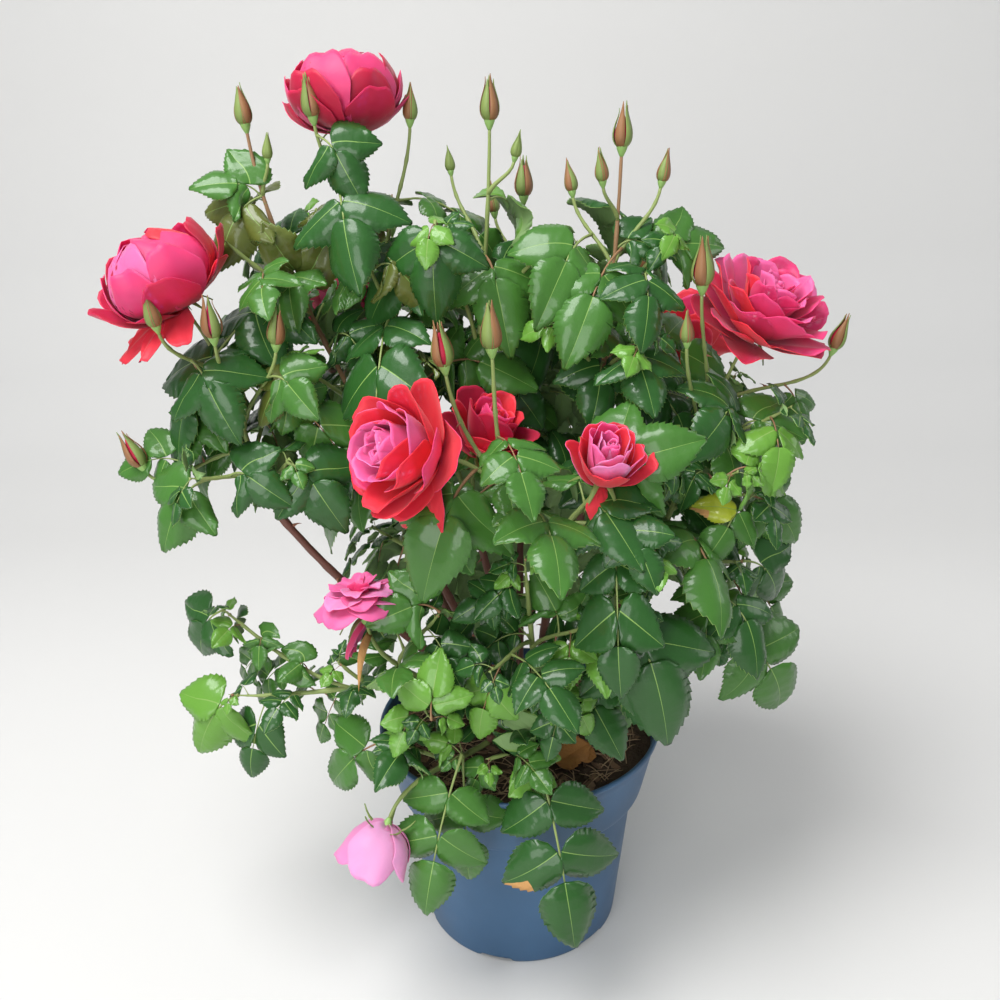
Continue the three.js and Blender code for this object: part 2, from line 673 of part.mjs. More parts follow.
function growLeaf(foot, leave, count, size, droop, lean) {
  const span = LEAF_SPANS[count] * size;
  const middle = foot.clone().addScaledVector(leave, span / 2);
  const end = foot.clone().addScaledVector(leave, span).addScaledVector(DOWN, span * droop);
  return {
    curve: new THREE.QuadraticBezierCurve3(foot, middle, end),
    facing: facingAt(foot, leave, lean),
    leaflets: layLeaflets(count, span, LEAFLET_LENGTH * size),
    span,
  };
}

function markedLeaf(shoot, mark) {
  const foot = shoot.curve.getPoint(mark.at);
  const tip = point(mark.tip);
  const toTip = tip.clone().sub(foot);
  const reach = toTip.length();
  const length = Math.min(LEAFLET_LENGTH * (mark.size ?? 1), reach * MOST_BLADE);
  const hang = toTip.clone().addScaledVector(DOWN, reach * HANG).normalize();
  const base = tip.addScaledVector(hang, -length);
  const span = base.distanceTo(foot);
  return {
    curve: new THREE.QuadraticBezierCurve3(foot, base.clone().addScaledVector(hang, -span / 2), base),
    facing: facingAt(foot, toTip, MARK_LEAN),
    leaflets: layLeaflets(mark.leaflets ?? 3, span, length),
    span,
  };
}

function leafRoom(leaf) {
  const samples = [0.35, 0.5, 0.65, 0.8, 0.95].map((share) => (
    { place: leafPoint(leaf, leaf.span * share, 0, 0), room: STALK_ROOM }
  ));
  for (const leaflet of leaf.leaflets) {
    for (const [u, v] of BLADE_SAMPLES) {
      samples.push({ place: leafPoint(leaf, ...leafletSpot(leaflet, u, v), 0), room: BLADE_ROOM });
    }
  }
  return samples;
}

// One leaf at a share of a shoot. Each try turns it further round and makes it a little smaller,
// and a leaf that never finds free room is left out.
function tryLeaf(shoot, share, number, seed) {
  const random = seededRandom(seed * 1009 + shoot.order * 101 + number * 7);
  const draws = Array.from({ length: 8 }, random);
  const tangent = shoot.curve.getTangent(share);
  const foot = shoot.curve.getPoint(share);
  const side = squareTo(referenceFor(shoot.curve), tangent);
  const across = new THREE.Vector3().crossVectors(tangent, side);
  const nearBloom = share > 0.78 || (shoot.length < 70 && number > 0);
  const count = nearBloom || draws[0] < 0.16 ? 3 : 5;
  const lean = new THREE.Vector3(draws[1] - 0.5, draws[2] - 0.5, 0).multiplyScalar(0.7);
  const start = seed * 47 + shoot.order * 61 + number * GOLDEN_ANGLE + (draws[3] - 0.5) * 40;
  for (let attempt = 0; attempt < TRIES; attempt += 1) {
    const swing = (attempt % 2 === 0 ? 1 : -1) * Math.ceil(attempt / 2) * 26;
    const azimuth = toRadians(start + swing);
    const opening = toRadians(52 + draws[4] * 22);
    const leave = tangent.clone().multiplyScalar(Math.cos(opening))
      .addScaledVector(side, Math.sin(opening) * Math.cos(azimuth))
      .addScaledVector(across, Math.sin(opening) * Math.sin(azimuth))
      .addScaledVector(UP, 0.12)
      .normalize();
    const full = (0.72 + draws[5] ** 2 * 0.5) * (1.1 - share * 0.2) * (shoot.size ?? 1);
    const size = full * (1 - attempt * 0.012);
    const droop = (shoot.droop ?? 0.3) + draws[6] * 0.34 + (attempt % 3) * 0.08;
    const leaf = growLeaf(foot, leave, count, size, droop, lean);
    const room = leafRoom(leaf);
    const owner = leaf;
    const free = room.every(({ place, room: need }) => clearOfPot(place)
      && clearOfBlooms(place) && roomIsFree(place, need, owner));
    if (free) {
      room.forEach(({ place, room: need }) => takeRoom(place, need, owner));
      return leaf;
    }
  }
  return null;
}

// The leaves that stand out take their room before all others
function markLeaves(shoots) {
  const leaves = [];
  for (const shoot of shoots) {
    for (const mark of shoot.marks ?? []) {
      const leaf = markedLeaf(shoot, mark);
      leafRoom(leaf).forEach(({ place, room }) => takeRoom(place, room, leaf));
      leaves.push(leaf);
    }
  }
  return leaves;
}

function growLeaves(shoots, seed) {
  const leaves = [];
  for (const shoot of shoots) {
    const fitting = Math.max(1, Math.round((shoot.length * 0.82) / LEAF_SPACING));
    const count = shoot.leaves ?? fitting;
    for (let number = 0; number < count; number += 1) {
      const share = 0.16 + (0.76 * (number + 0.5)) / count;
      const leaf = tryLeaf(shoot, share, number, seed);
      if (leaf) {
        leaves.push(leaf);
      }
    }
  }
  return leaves;
}

// Solids of leaves, blooms and buds

function leafSolid(leaf) {
  const flat = new THREE.Shape(leafOutline(leaf));
  const blade = new THREE.ExtrudeGeometry(flat, { depth: LEAF_THICKNESS, steps: 1, bevelEnabled: false });
  return toSolid(moveVertices(blade, ({ x, y, z }) => leafPoint(leaf, x, y, z - LEAF_THICKNESS / 2)));
}

function bloomSolid(shoot) {
  const width = shoot.bloom;
  const axis = point(shoot.facing).normalize();
  const side = squareTo(referenceFor(shoot.curve), axis);
  const across = new THREE.Vector3().crossVectors(axis, side);
  const cup = shoot.cup ?? 1;
  const centre = point(shoot.tip);
  const [[footAlong]] = BLOOM_RINGS;
  const rings = [[footAlong - 0.01, 0], ...BLOOM_RINGS, [BLOOM_CROWN, 0]];
  const profile = rings.map(([along, out]) => [out * width, along * width]);
  return toSolid(moveVertices(turned(profile, BLOOM_SIDES), (vertex) => {
    const angle = Math.atan2(vertex.y, vertex.x);
    const along = vertex.z / width;
    const ruffle = Math.cos(OUTER_PETALS * angle) * (along > PETAL_TIPS ? -PETAL_RUFFLE : PETAL_RUFFLE);
    const waved = along > footAlong ? ruffle : 0;
    return centre.clone()
      .addScaledVector(side, vertex.x * cup * (1 + waved))
      .addScaledVector(across, vertex.y * cup * (1 + waved))
      .addScaledVector(axis, vertex.z * (2 - cup) - waved * width * 0.25);
  }));
}

function budSolid(shoot) {
  const length = shoot.bud;
  const foot = shoot.curve.getPoint(1);
  const axis = shoot.curve.getTangent(1);
  const side = squareTo(referenceFor(shoot.curve), axis);
  const across = new THREE.Vector3().crossVectors(axis, side);
  const profile = [[0, -0.02], ...BUD_RINGS.map(([along, out]) => [out, along]), [0, 1]];
  return toSolid(moveVertices(turned(profile, BUD_SIDES), (vertex) => foot.clone()
    .addScaledVector(side, vertex.x * length)
    .addScaledVector(across, vertex.y * length)
    .addScaledVector(axis, vertex.z * length)));
}

function shootSolid(shoot) {
  const leader = shoot.order === 0;
  const startRadius = leader ? STEM_RADIUS : STEM_RADIUS * 0.68;
  const endRadius = shoot.bloom || shoot.bud ? PEDICEL_TIP_RADIUS : STEM_TIP_RADIUS;
  const steps = Math.max(2, Math.round(shoot.length / STEP_LENGTH));
  const sides = leader ? STEM_SIDES : 3;
  return toSolid(limb(shoot.curve, startRadius, endRadius, sides, steps, referenceFor(shoot.curve)));
}

// Putting the plant together

function boxesMeet(a, b) {
  const [boxA, boxB] = [a.boundingBox(), b.boundingBox()];
  return [0, 1, 2].every((i) => boxA.min[i] < boxB.max[i] && boxB.min[i] < boxA.max[i]);
}

function touches(solid, others) {
  return others.some((other) => boxesMeet(solid, other) && !solid.intersect(other).isEmpty());
}

const group = new THREE.Group();

function addNode(name, solid, finish) {
  const mesh = new THREE.Mesh(toGeometry(solid), new THREE.MeshStandardMaterial(FINISHES[finish]));
  mesh.name = name;
  group.add(mesh);
}

const pot = makePot();
const soil = makeSoil();
const knob = toSolid(knobGeometry(0));
const knobRoom = toSolid(knobGeometry(GAP));
addNode('pot', pot, 'pot');
addNode('soil', soil, 'soil');
addNode('graft_knob', knob, 'knob');

const canes = new Map();
for (const cane of CANES) {
  const curve = caneCurve(cane);
  const steps = Math.max(4, Math.round(curve.getLength() / STEP_LENGTH));
  const shape = (growth) => toSolid(limb(curve, CANE_BASE_RADIUS + growth, CANE_TIP_RADIUS + growth,
    CANE_SIDES, steps, referenceFor(curve)));
  const tipCap = toSolid(new THREE.SphereGeometry(CANE_TIP_RADIUS, 8, 6).translate(...cane.tip));
  const solid = largestBody(shape(0).subtract(knobRoom));
  canes.set(cane.name, { curve, solid, room: shape(GAP).add(tipCap) });
  takeRoomAlong(curve, CANE_TIP_RADIUS + 0.8, null);
  addNode(cane.name, solid, 'cane');
}

const masses = MASSES.map((mass) => ({ ...mass, shoots: placeShoots(mass, canes.get(mass.cane)) }));
for (const mass of masses) {
  for (const shoot of mass.shoots) {
    takeRoomAlong(shoot.curve, STEM_RADIUS * 0.5, null);
    if (shoot.bloom) {
      const ahead = point(shoot.facing).normalize().multiplyScalar(shoot.bloom * 0.4);
      bloomBalls.push({ centre: point(shoot.tip), radius: shoot.bloom * 0.52 });
      bloomBalls.push({ centre: point(shoot.tip).add(ahead), radius: shoot.bloom * 0.5 });
    } else if (shoot.bud) {
      bloomBalls.push({ centre: point(shoot.tip), radius: shoot.bud * 0.5 + 3 });
    }
  }
}

const limbs = [pot, soil, knob, ...[...canes.values()].map((cane) => cane.solid)];
const grown = new Map();
for (const mass of masses) {
  const wood = mass.shoots.map(shootSolid);
  const flowers = mass.shoots.filter((shoot) => shoot.bloom).map(bloomSolid);
  const buds = mass.shoots.filter((shoot) => shoot.bud).map(budSolid);
  grown.set(mass.name, wasm.Manifold.union([...wood, ...flowers, ...buds]));
}
for (const mass of masses) {
  mass.marked = markLeaves(mass.shoots);
}
for (const mass of masses) {
  const own = grown.get(mass.name);
  const others = [...limbs, ...[...grown.values()].filter((solid) => solid !== own)];
  const leaves = [...mass.marked, ...growLeaves(mass.shoots, mass.seed)].map(leafSolid);
  const clearLeaves = leaves.filter((leaf) => !touches(leaf, others));
  const whole = wasm.Manifold.union([own, ...clearLeaves]);
  const cut = welded(whole.subtract(canes.get(mass.cane).room));
  const solid = welded(cut.simplify(FACE_TOLERANCE));
  grown.set(mass.name, solid);
  addNode(mass.name, solid, 'foliage');
}

export default group;
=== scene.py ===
"""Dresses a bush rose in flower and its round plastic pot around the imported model."""

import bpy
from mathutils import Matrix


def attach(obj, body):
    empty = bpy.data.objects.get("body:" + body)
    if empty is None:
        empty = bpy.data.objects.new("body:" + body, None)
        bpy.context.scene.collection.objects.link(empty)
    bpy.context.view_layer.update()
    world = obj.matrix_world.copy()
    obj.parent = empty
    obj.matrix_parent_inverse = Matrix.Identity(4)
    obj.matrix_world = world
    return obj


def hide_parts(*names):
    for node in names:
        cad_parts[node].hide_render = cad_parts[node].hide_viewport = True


bl_info = {
    "name": "Potted bush rose",
    "version": (1, 0, 0),
    "blender": (4, 5, 0),
    "location": "3D View > Sidebar > Rose",
    "description": "Builds a bush rose in flower, with its pot, compost and a plain studio",
    "category": "Add Mesh",
}

import functools
import math

import bpy
import numpy as np
from mathutils import Matrix, Vector, noise

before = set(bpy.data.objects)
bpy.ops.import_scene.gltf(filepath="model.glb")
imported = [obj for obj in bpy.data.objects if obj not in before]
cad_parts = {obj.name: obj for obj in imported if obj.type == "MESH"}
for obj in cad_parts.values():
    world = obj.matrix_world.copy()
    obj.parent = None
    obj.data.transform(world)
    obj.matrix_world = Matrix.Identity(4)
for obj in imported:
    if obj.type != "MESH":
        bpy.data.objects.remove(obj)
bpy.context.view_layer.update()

MM = 0.001
UP = np.array([0.0, 0.0, 1.0])
DOWN = -UP

# The pot's outline, in millimetres
POT_HEIGHT = 174
POT_RIM_RADIUS = 110
POT_BASE_RADIUS = 78
POT_WALL = 2.2
POT_FLOOR = 5
COLLAR_FOOT = 124
COLLAR_FOOT_RADIUS = 98
BODY_TOP_RADIUS = 91
RIM_BEAD = 3
FOOT_NOTCHES = 6
FOOT_NOTCH_WIDTH = 26
FOOT_NOTCH_HEIGHT = 3.6
SOIL_EDGE = 161
SOIL_CROWN = 164
GAP = 0.3
KNOB_RADIUS = 17
KNOB_CENTRE = np.array([0.0, 0.0, SOIL_CROWN + GAP + 9])

# The compost: how far out it reaches, where its crown starts and ends its slope, and where the
# chips, fibres and fallen leaflets lie, as x, y, heading and length
COMPOST_EDGE = 103.7
CROWN_SLOPE = (26, 100)
SCATTER_REACH = (24, 92)
FIBRE_REACH = 97
SCATTER_SEED = 71
FALLEN_SEED = 77
FALLEN_LEAFLETS = [(20, -58, 0.6, 34), (58, -58, 2.2, 24), (-40, 60, 4, 30)]

# The knob's outline from its skirt in the compost to its top: how far out, and how far up
KNOB_PROFILE = [
    (KNOB_RADIUS + 7, 0), (KNOB_RADIUS + 4, 3), (KNOB_RADIUS + 1.5, 6), (KNOB_RADIUS, 10),
    (KNOB_RADIUS * 0.96, 15), (KNOB_RADIUS * 0.88, 19), (KNOB_RADIUS * 0.74, 23.5),
    (KNOB_RADIUS * 0.5, 26.5), (KNOB_RADIUS * 0.2, 28), (0.05, 28.3),
]
KNOB_SKIRT_DEPTH = 2.5

# Wood
CANE_BASE_RADIUS = 3.6
CANE_TIP_RADIUS = 2.5
STEM_RADIUS = 2.2
STEM_TIP_RADIUS = 1.2
PEDICEL_TIP_RADIUS = 1.1
CANE_SEED = 900
PRUNED_STUB = [(24, -62, 350), (25, -64, 360), (27, -68, 371)]

# Compound leaves: a leaf is laid out flat, x along its rib and y to the side, then bent
LEAFLET_LENGTH = 42
LEAFLET_WIDTH = 0.78
LEAF_SAG = 0.006
RIB_HALF_WIDTH = 1.2
LEAF_SPANS = {3: 40, 5: 66}
PAIRS = {3: [(0.64, 0.9)], 5: [(0.36, 0.78), (0.76, 0.9)]}
PAIR_ANGLE = math.radians(64)
LEAF_SPACING = 50
FACE_MIDDLE = 70
FACE_SPREAD = 0.25
FACE_OUTWARD = 0.15
MARK_LEAN = np.array([0.0, -0.7, 0.0])
HANG = 0.25
MOST_BLADE = 0.66

# How a leaf looks for room: the turn from leaf to leaf in degrees, the tries, how far each second
# try swings on and by how much each try is smaller, and how far its stalk opens from the shoot
GOLDEN_ANGLE = 137.5
TRIES = 14
SWING = 26
SHRINK = 0.012
LEAST_OPENING = 52
OPENING_SPREAD = 22

# Leaves near a bloom and on short shoots have three leaflets, and so have some of the others
NEAR_BLOOM = 0.78
SHORT_SHOOT = 70
THREE_LEAFLET_SHARE = 0.16

# Room that a blade and a stalk keep, and the places of a blade that are tested, as shares of its
# length and half width
BLADE_ROOM = 3
STALK_ROOM = 1.5
CELL = 10
BLADE_SAMPLES = [
    (0.2, 0), (0.45, 0), (0.7, 0), (0.97, 0),
    (0.4, 0.8), (0.4, -0.8), (0.7, 0.5), (0.7, -0.5),
]

# In-between leaves and young end leaves, which the source leaves out: an end leaf's share of its
# shoot and its size
FILL_SPACING = 24
FILL_SEED = 500
TIP_SEED = 800
FILL_BLADE_ROOM = 1.8
TIP_LEAVES = [(0.9, 0.62), (0.98, 0.5), (0.94, 0.42)]

# How deep a bloom is, as a share of its width
BLOOM_DEPTH = 0.34

# The canes, each from the knob to the fork where its foliage begins: name, tip, heading and
# rise in degrees at the knob, and how far the cane keeps that heading before it turns
CANES = [
    ("cane_left", (-163, -44, 368), 188, 42, 0.3),
    ("cane_top_left", (-78, 14, 340), 160, 58, 0.35),
    ("cane_top", (-36, 34, 352), 100, 72, 0.3),
    ("cane_centre", (26, -66, 362), 304, 60, 0.3),
    ("cane_top_right", (50, 24, 338), 30, 60, 0.35),
    ("cane_right", (100, -12, 318), 348, 48, 0.3),
    ("cane_left_low", (-72, -52, 238), 224, 26, 0.35),
    ("cane_front", (14, -52, 236), 272, 34, 0.35),
    ("cane_front_low", (-22, -66, 199), 246, 8, 0.35),
    ("cane_back_left", (-78, 66, 290), 142, 34, 0.35),
    ("cane_back", (4, 84, 300), 88, 40, 0.35),
    ("cane_back_right", (82, 62, 284), 36, 32, 0.35),
]


def shoot(tip, start=0.0, **features):
    """A shoot of a mass: where it ends, the share of its leader that it leaves at, and what it bears."""
    return {"tip": tip, "from": start, **features}


def mark(at, tip, size=1.0, leaflets=3, tint=None, withered=None):
    """A leaf that stands out: the share of its shoot that it leaves at, and its end leaflet's tip.
    withered is the number of the leaflet with a dry corner."""
    shape = {"at": at, "tip": tip, "size": size, "leaflets": leaflets}
    return {**shape, "tint": tint, "withered": withered}


# The masses of foliage: name, cane, seed and shoots, the first of which is the leader
MASSES = [
    ("foliage_front", "cane_front_low", 25, [
        shoot((11, -105, 212), leaves=1, size=0.6, marks=[mark(1, (35, -160, 90), 1.2, 5, "dark", 3)]),
        shoot((-24, -112, 214), 0.5, leaves=2, size=0.55),
    ]),
    ("foliage_front_left", "cane_front_low", 24, [
        shoot((-96, -142, 166), bloom=62, facing=(-0.35, -0.3, -0.88), leaves=0, style="nodding"),
        shoot((-40, -112, 218), 0.2, leaves=1, size=0.8,
              marks=[mark(1, (-68, -158, 118), 1, 5, "middle"),
                     mark(0.7, (-38, -134, 122), 0.9, 3, "middle")]),
        shoot((-88, -88, 214), 0.3, leaves=1, size=0.8, marks=[mark(1, (-142, -80, 168), 0.9)]),
    ]),
    ("foliage_heart", "cane_front", 22, [
        shoot((4, -96, 356), size=0.75),
        shoot((-20, -126, 290), 0.34, size=0.75),
        shoot((30, -124, 262), 0.2, size=0.7),
        shoot((44, -104, 310), 0.3, size=0.65),
    ]),
    ("foliage_heart_right", "cane_front", 23, [
        shoot((80, -96, 332), size=0.8,
              marks=[mark(0.6, (56, -132, 282), 0.75, 3, "fresh"),
                     mark(0.8, (101, -140, 238), 1.4, 3, "dark")]),
        shoot((98, -90, 290), 0.4, size=0.8),
        shoot((112, -52, 262), 0.3, leaves=1, size=0.6),
    ]),
    ("foliage_heart_left", "cane_left_low", 21, [
        shoot((-104, -86, 322), bloom=54, facing=(-0.15, 0.05, 0.98), leaves=0, style="flat"),
        shoot((-52, -90, 314), 0.4, size=0.8, marks=[mark(1, (-100, -104, 312), 0.8)]),
        shoot((-58, -125, 254), 0.3, size=0.65, marks=[mark(1, (-51, -114, 300), 0.85, 3, "fresh")]),
    ]),
    ("foliage_left_low", "cane_left_low", 20, [
        shoot((-204, -74, 244), leaves=3, size=0.6,
              marks=[mark(0.95, (-236, -80, 196), 1.1, 3, "fresh")]),
        shoot((-214, -42, 298), 0.35, leaves=3, size=0.6, marks=[mark(0.95, (-242, -40, 252), 0.9)]),
        shoot((-128, -62, 262), 0.22, leaves=2, size=0.6),
    ]),
    ("foliage_left", "cane_left", 11, [
        # This bloom's petals on the side away from the lamps get darker colours, as painted shade.
        shoot((-226, -20, 520), bloom=88, facing=(-0.45, -0.2, 0.87), style="loose",
              droop_to=(-0.8, -0.5, 0), flush_to=(0.9, -0.3, 0.3), flush="crimson rose scarlet"),
        shoot((-222, -60, 508), 0.66, bud=22, leaves=0, marks=[mark(0.5, (-181, -76, 430), 1)]),
        shoot((-190, -52, 500), 0.56, bud=26, leaves=0),
        shoot((-154, -42, 492), 0.42, bud=24, leaves=1, marks=[mark(0.7, (-127, -64, 440), 1)]),
        shoot((-252, -36, 410), 0.3, bud=26, leaves=0, marks=[mark(0.5, (-276, -36, 398), 0.7)]),
        shoot((-212, -70, 404), 0.16, leaves=0,
              marks=[mark(0.75, (-240, -82, 358), 1.15, 3, "middle"), mark(0.5, (-150, -76, 387), 1)]),
        shoot((-176, 10, 430), 0.24),
        shoot((-150, -52, 410), 0.1, leaves=1, marks=[mark(0.9, (-114, -66, 360), 1.1)]),
    ]),
    ("foliage_top_left", "cane_top_left", 12, [
        shoot((-173, 20, 624), bud=24,
              marks=[mark(0.84, (-211, 5, 582), 0.75), mark(0.86, (-200, -5, 530), 0.9, 3, "bronze"),
                     mark(0.6, (-163, -10, 551), 1, 3, "bronze"),
                     mark(0.66, (-150, -24, 496), 0.9)]),
        shoot((-160, 14, 600), 0.86, bud=15, leaves=0),
        shoot((-192, -2, 548), 0.56, marks=[mark(0.2, (-178, -24, 461), 1)]),
        shoot((-140, -34, 470), 0.28),
        shoot((-138, 58, 560), 0.6),
    ]),
    ("foliage_top", "cane_top", 13, [
        # This bloom's petals on the side away from the lamps get darker colours, as painted shade.
        shoot((-110, 40, 634), bloom=86, facing=(-0.05, 0.1, 0.99), cup=0.94, style="globe",
              flush_to=(0.95, -0.3, 0), flush="crimson crimson rose"),
        shoot((-126, 6, 628), 0.74, bud=24, leaves=0,
              marks=[mark(0.92, (-97, -14, 570), 0.9), mark(0.55, (-102, -42, 520), 1.15)]),
        shoot((-68, 44, 624), 0.62, bud=22, leaves=1),
        shoot((-98, -18, 540), 0.44),
        shoot((-62, -30, 462), 0.24),
    ]),
    ("foliage_top_middle", "cane_top", 14, [
        shoot((-14, 30, 624), bud=26, marks=[mark(0.68, (-4, -26, 480), 1.15)]),
        shoot((2, 24, 598), 0.84, bud=16, leaves=0),
        shoot((-42, 62, 588), 0.66, bud=16, leaves=0),
        shoot((24, 4, 540), 0.48),
        shoot((-50, -8, 556), 0.4, marks=[mark(1, (-53, -38, 499), 1.1)]),
    ]),
    ("foliage_top_right", "cane_top_right", 15, [
        shoot((73, 20, 606), bud=26, marks=[mark(0.76, (108, 10, 532), 0.8)]),
        shoot((60, 8, 584), 0.84, bud=20, leaves=0),
        shoot((42, 34, 576), 0.7, bud=20, leaves=0, marks=[mark(0.5, (18, -36, 498), 1.1)]),
        shoot((100, 22, 582), 0.72, bud=20, leaves=0, marks=[mark(0.2, (36, -48, 472), 1.15)]),
        shoot((112, 12, 540), 0.56, marks=[mark(0.7, (149, 26, 534), 0.8)]),
        shoot((34, -20, 490), 0.36),
        shoot((104, 66, 524), 0.56),
        shoot((86, -30, 480), 0.4, marks=[mark(0.6, (91, -58, 440), 1)]),
    ]),
    ("foliage_right", "cane_right", 16, [
        shoot((173, 10, 494), bloom=92, facing=(0.3, -0.34, 0.88), style="ruffled"),
        shoot((124, -16, 522), 0.56, bud=30, leaves=0),
        shoot((112, -36, 486), 0.46, bud=20, leaves=0),
        shoot((228, 30, 466), 0.66, bud=24, leaves=0, marks=[mark(0.55, (212, 6, 396), 0.8)]),
        shoot((190, -16, 430), 0.42, marks=[mark(0.5, (198, -24, 412), 1)]),
        shoot((146, -58, 398), 0.24, size=0.75),
        shoot((170, 70, 430), 0.5),
        shoot((180, -20, 370), 0.2, leaves=0, marks=[mark(0.65, (211, -16, 328), 1)]),
    ]),
    ("foliage_right_low", "cane_right", 17, [
        shoot((162, -26, 318), size=0.9, marks=[mark(1, (202, -18, 280), 0.9)]),
        shoot((150, -56, 278), 0.36, size=0.9, marks=[mark(0.9, (206, -40, 196), 1.2)]),
        shoot((168, 30, 290), 0.5, leaves=0, marks=[mark(0.9, (218, 10, 224), 1)]),
    ]),
    ("foliage_centre_left", "cane_centre", 18, [
        shoot((-71, -112, 433), bloom=92, facing=(-0.74, -0.6, 0.3), leaves=1, style="full",
              droop_to=(-0.6, -0.1, -0.9), marks=[mark(0.7, (-62, -136, 348), 1.3, 3, "middle")]),
        shoot((-42, -92, 488), 0.44, bud=26, leaves=0),
        shoot((-14, -88, 498), 0.34, bud=28, leaves=1),
        shoot((-16, -38, 428), 0.28, bloom=72, facing=(0.4, -0.25, 0.88), leaves=0, style="open"),
    ]),
    ("foliage_centre_right", "cane_centre", 19, [
        shoot((56, -84, 415), bloom=58, facing=(0.12, -0.5, 0.86), cup=0.86, leaves=1, style="half_open",
              stray_to=(1, 0.2, 0),
              marks=[mark(0.5, (74, -124, 366), 1)]),
        shoot((96, -66, 412), 0.3, marks=[mark(0.35, (118, -80, 428), 1.2, 3, "middle")]),
        shoot((88, -92, 356), 0.16, size=0.8),
    ]),
    ("foliage_back_left", "cane_back_left", 26, [
        shoot((-130, 132, 486), bloom=84, facing=(-0.35, 0.6, 0.7), style="globe"),
        shoot((-92, 118, 546), 0.6, bud=24, leaves=0),
        shoot((-178, 84, 428), 0.34),
        shoot((-96, 156, 440), 0.44),
    ]),
    ("foliage_back_left_low", "cane_back_left", 27, [
        shoot((-120, 96, 300), size=0.9),
        shoot((-90, 134, 280), 0.34),
    ]),
    ("foliage_back", "cane_back", 28, [
        shoot((10, 112, 570), bud=28),
        shoot((-12, 122, 556), 0.8, bud=22, leaves=0),
        shoot((56, 156, 470), 0.3),
        shoot((-44, 158, 490), 0.4),
        shoot((50, 96, 530), 0.55),
    ]),
    ("foliage_back_low", "cane_back", 29, [
        shoot((-6, 176, 348)),
        shoot((50, 150, 280), 0.3),
        shoot((-50, 150, 290), 0.36),
    ]),
    ("foliage_back_right", "cane_back_right", 30, [
        shoot((134, 136, 452), bloom=86, facing=(0.4, 0.6, 0.7), style="ruffled"),
        shoot((104, 118, 512), 0.6, bud=26, leaves=0),
        shoot((180, 90, 392), 0.34),
        shoot((96, 158, 414), 0.42),
    ]),
    ("foliage_back_right_low", "cane_back_right", 31, [
        shoot((146, 88, 290)),
        shoot((100, 136, 270), 0.36),
    ]),
]
MASS_NODES = [mass[0] for mass in MASSES]
CANE_NODES = [cane[0] for cane in CANES]

# Marked leaves that the source leaves out: mass, number of the shoot and the leaf
MORE_MARKS = [
    ("foliage_right", 7, mark(0.85, (128, -66, 334), 0.75, 3, "yellow", 1)),
]

# Small tools for directions and curves


def unit(vector):
    return vector / np.linalg.norm(vector, axis=-1, keepdims=True)


def square_to(vector, axis):
    """The part of a vector that is square to an axis, made one long."""
    along = np.sum(vector * axis, axis=-1, keepdims=True)
    return unit(vector - axis * along)


def turn_word(value):
    return value & 0xFFFFFFFF


def seeded_random(seed):
    """Draws between 0 and 1, the same ones for the same seed on every run."""
    state = turn_word(seed)

    def draw():
        nonlocal state
        state = turn_word(state + 0x6D2B79F5)
        mixed = turn_word((state ^ (state >> 15)) * (state | 1))
        mixed ^= turn_word(mixed + (mixed ^ (mixed >> 7)) * (mixed | 61))
        return (mixed ^ (mixed >> 14)) / 4294967296

    return draw


class Bezier:
    """A Bezier curve in millimetres, measured along by shares from 0 to 1."""

    def __init__(self, *controls):
        self.controls = [np.array(control, float) for control in controls]

    def points(self, shares):
        shares = np.asarray(shares, float)[..., None]
        layer = [control + shares * 0 for control in self.controls]
        while len(layer) > 1:
            layer = [a + (b - a) * shares for a, b in zip(layer, layer[1:])]
        return layer[0]

    def tangents(self, shares):
        shares = np.asarray(shares, float)
        before = np.clip(shares - 0.0001, 0, 1)
        after = np.clip(shares + 0.0001, 0, 1)
        return unit(self.points(after) - self.points(before))

    def point(self, share):
        return self.points([share])[0]

    def tangent(self, share):
        return self.tangents([share])[0]

    def length(self):
        places = self.points(np.linspace(0, 1, 201))
        return float(np.linalg.norm(np.diff(places, axis=0), axis=1).sum())


def reference_for(start, end):
    """A direction that isn't along the way from start to end."""
    chord = unit(end - start)
    return np.array([0.0, 1, 0]) if abs(chord[1]) < 0.75 else np.array([1.0, 0, 0])


def square_pair(curve, axis):
    """Two directions square to an axis and to each other."""
    side = square_to(reference_for(curve.point(0), curve.point(1)), axis)
    return side, np.cross(axis, side)


def round_to(side, across, angle):
    return side * math.cos(angle) + across * math.sin(angle)


def angle_of(direction, side, across):
    return math.atan2(np.dot(direction, across), np.dot(direction, side))


def facing_of(part):
    return unit(np.array(part["facing"], float))


# The plant's plan: the source's rule for canes, shoots and leaves


def cane_curve(tip, heading, rise, bow):
    """A cane from inside the knob, out along its heading and up to its tip."""
    heading, rise = math.radians(heading), math.radians(rise)
    leave = np.array([
        math.cos(heading) * math.cos(rise),
        math.sin(heading) * math.cos(rise),
        math.sin(rise),
    ])
    start = KNOB_CENTRE + leave * (KNOB_RADIUS * 0.55)
    tip = np.array(tip, float)
    span = np.linalg.norm(tip - start)
    arrive = unit(unit(tip - start) + UP * 0.35)
    return Bezier(start, start + leave * (span * bow), tip - arrive * (span * 0.3), tip)


def shoot_end(part):
    """Where a shoot's wood ends: at its tip, or at the foot of its bloom or bud."""
    tip = np.array(part["tip"], float)
    if part.get("bloom"):
        return tip - facing_of(part) * (part["bloom"] * BLOOM_DEPTH)
    if part.get("bud"):
        return tip - UP * (part["bud"] * 0.5)
    return tip


def shoot_curve(start, heading, part):
    """A shoot that leaves near its parent's heading and ends upright, or along its bloom's axis."""
    end = shoot_end(part)
    span = np.linalg.norm(end - start)
    to_end = unit(end - start)
    leave = unit(heading * 0.55 + to_end * 0.6)
    arrive = unit(to_end + UP * 0.15)
    if part.get("bloom"):
        arrive = facing_of(part)
    elif part.get("bud"):
        arrive = unit(to_end * 0.35 + UP * 0.8)
    return Bezier(start, start + leave * (span * 0.36), end - arrive * (span * 0.34), end)


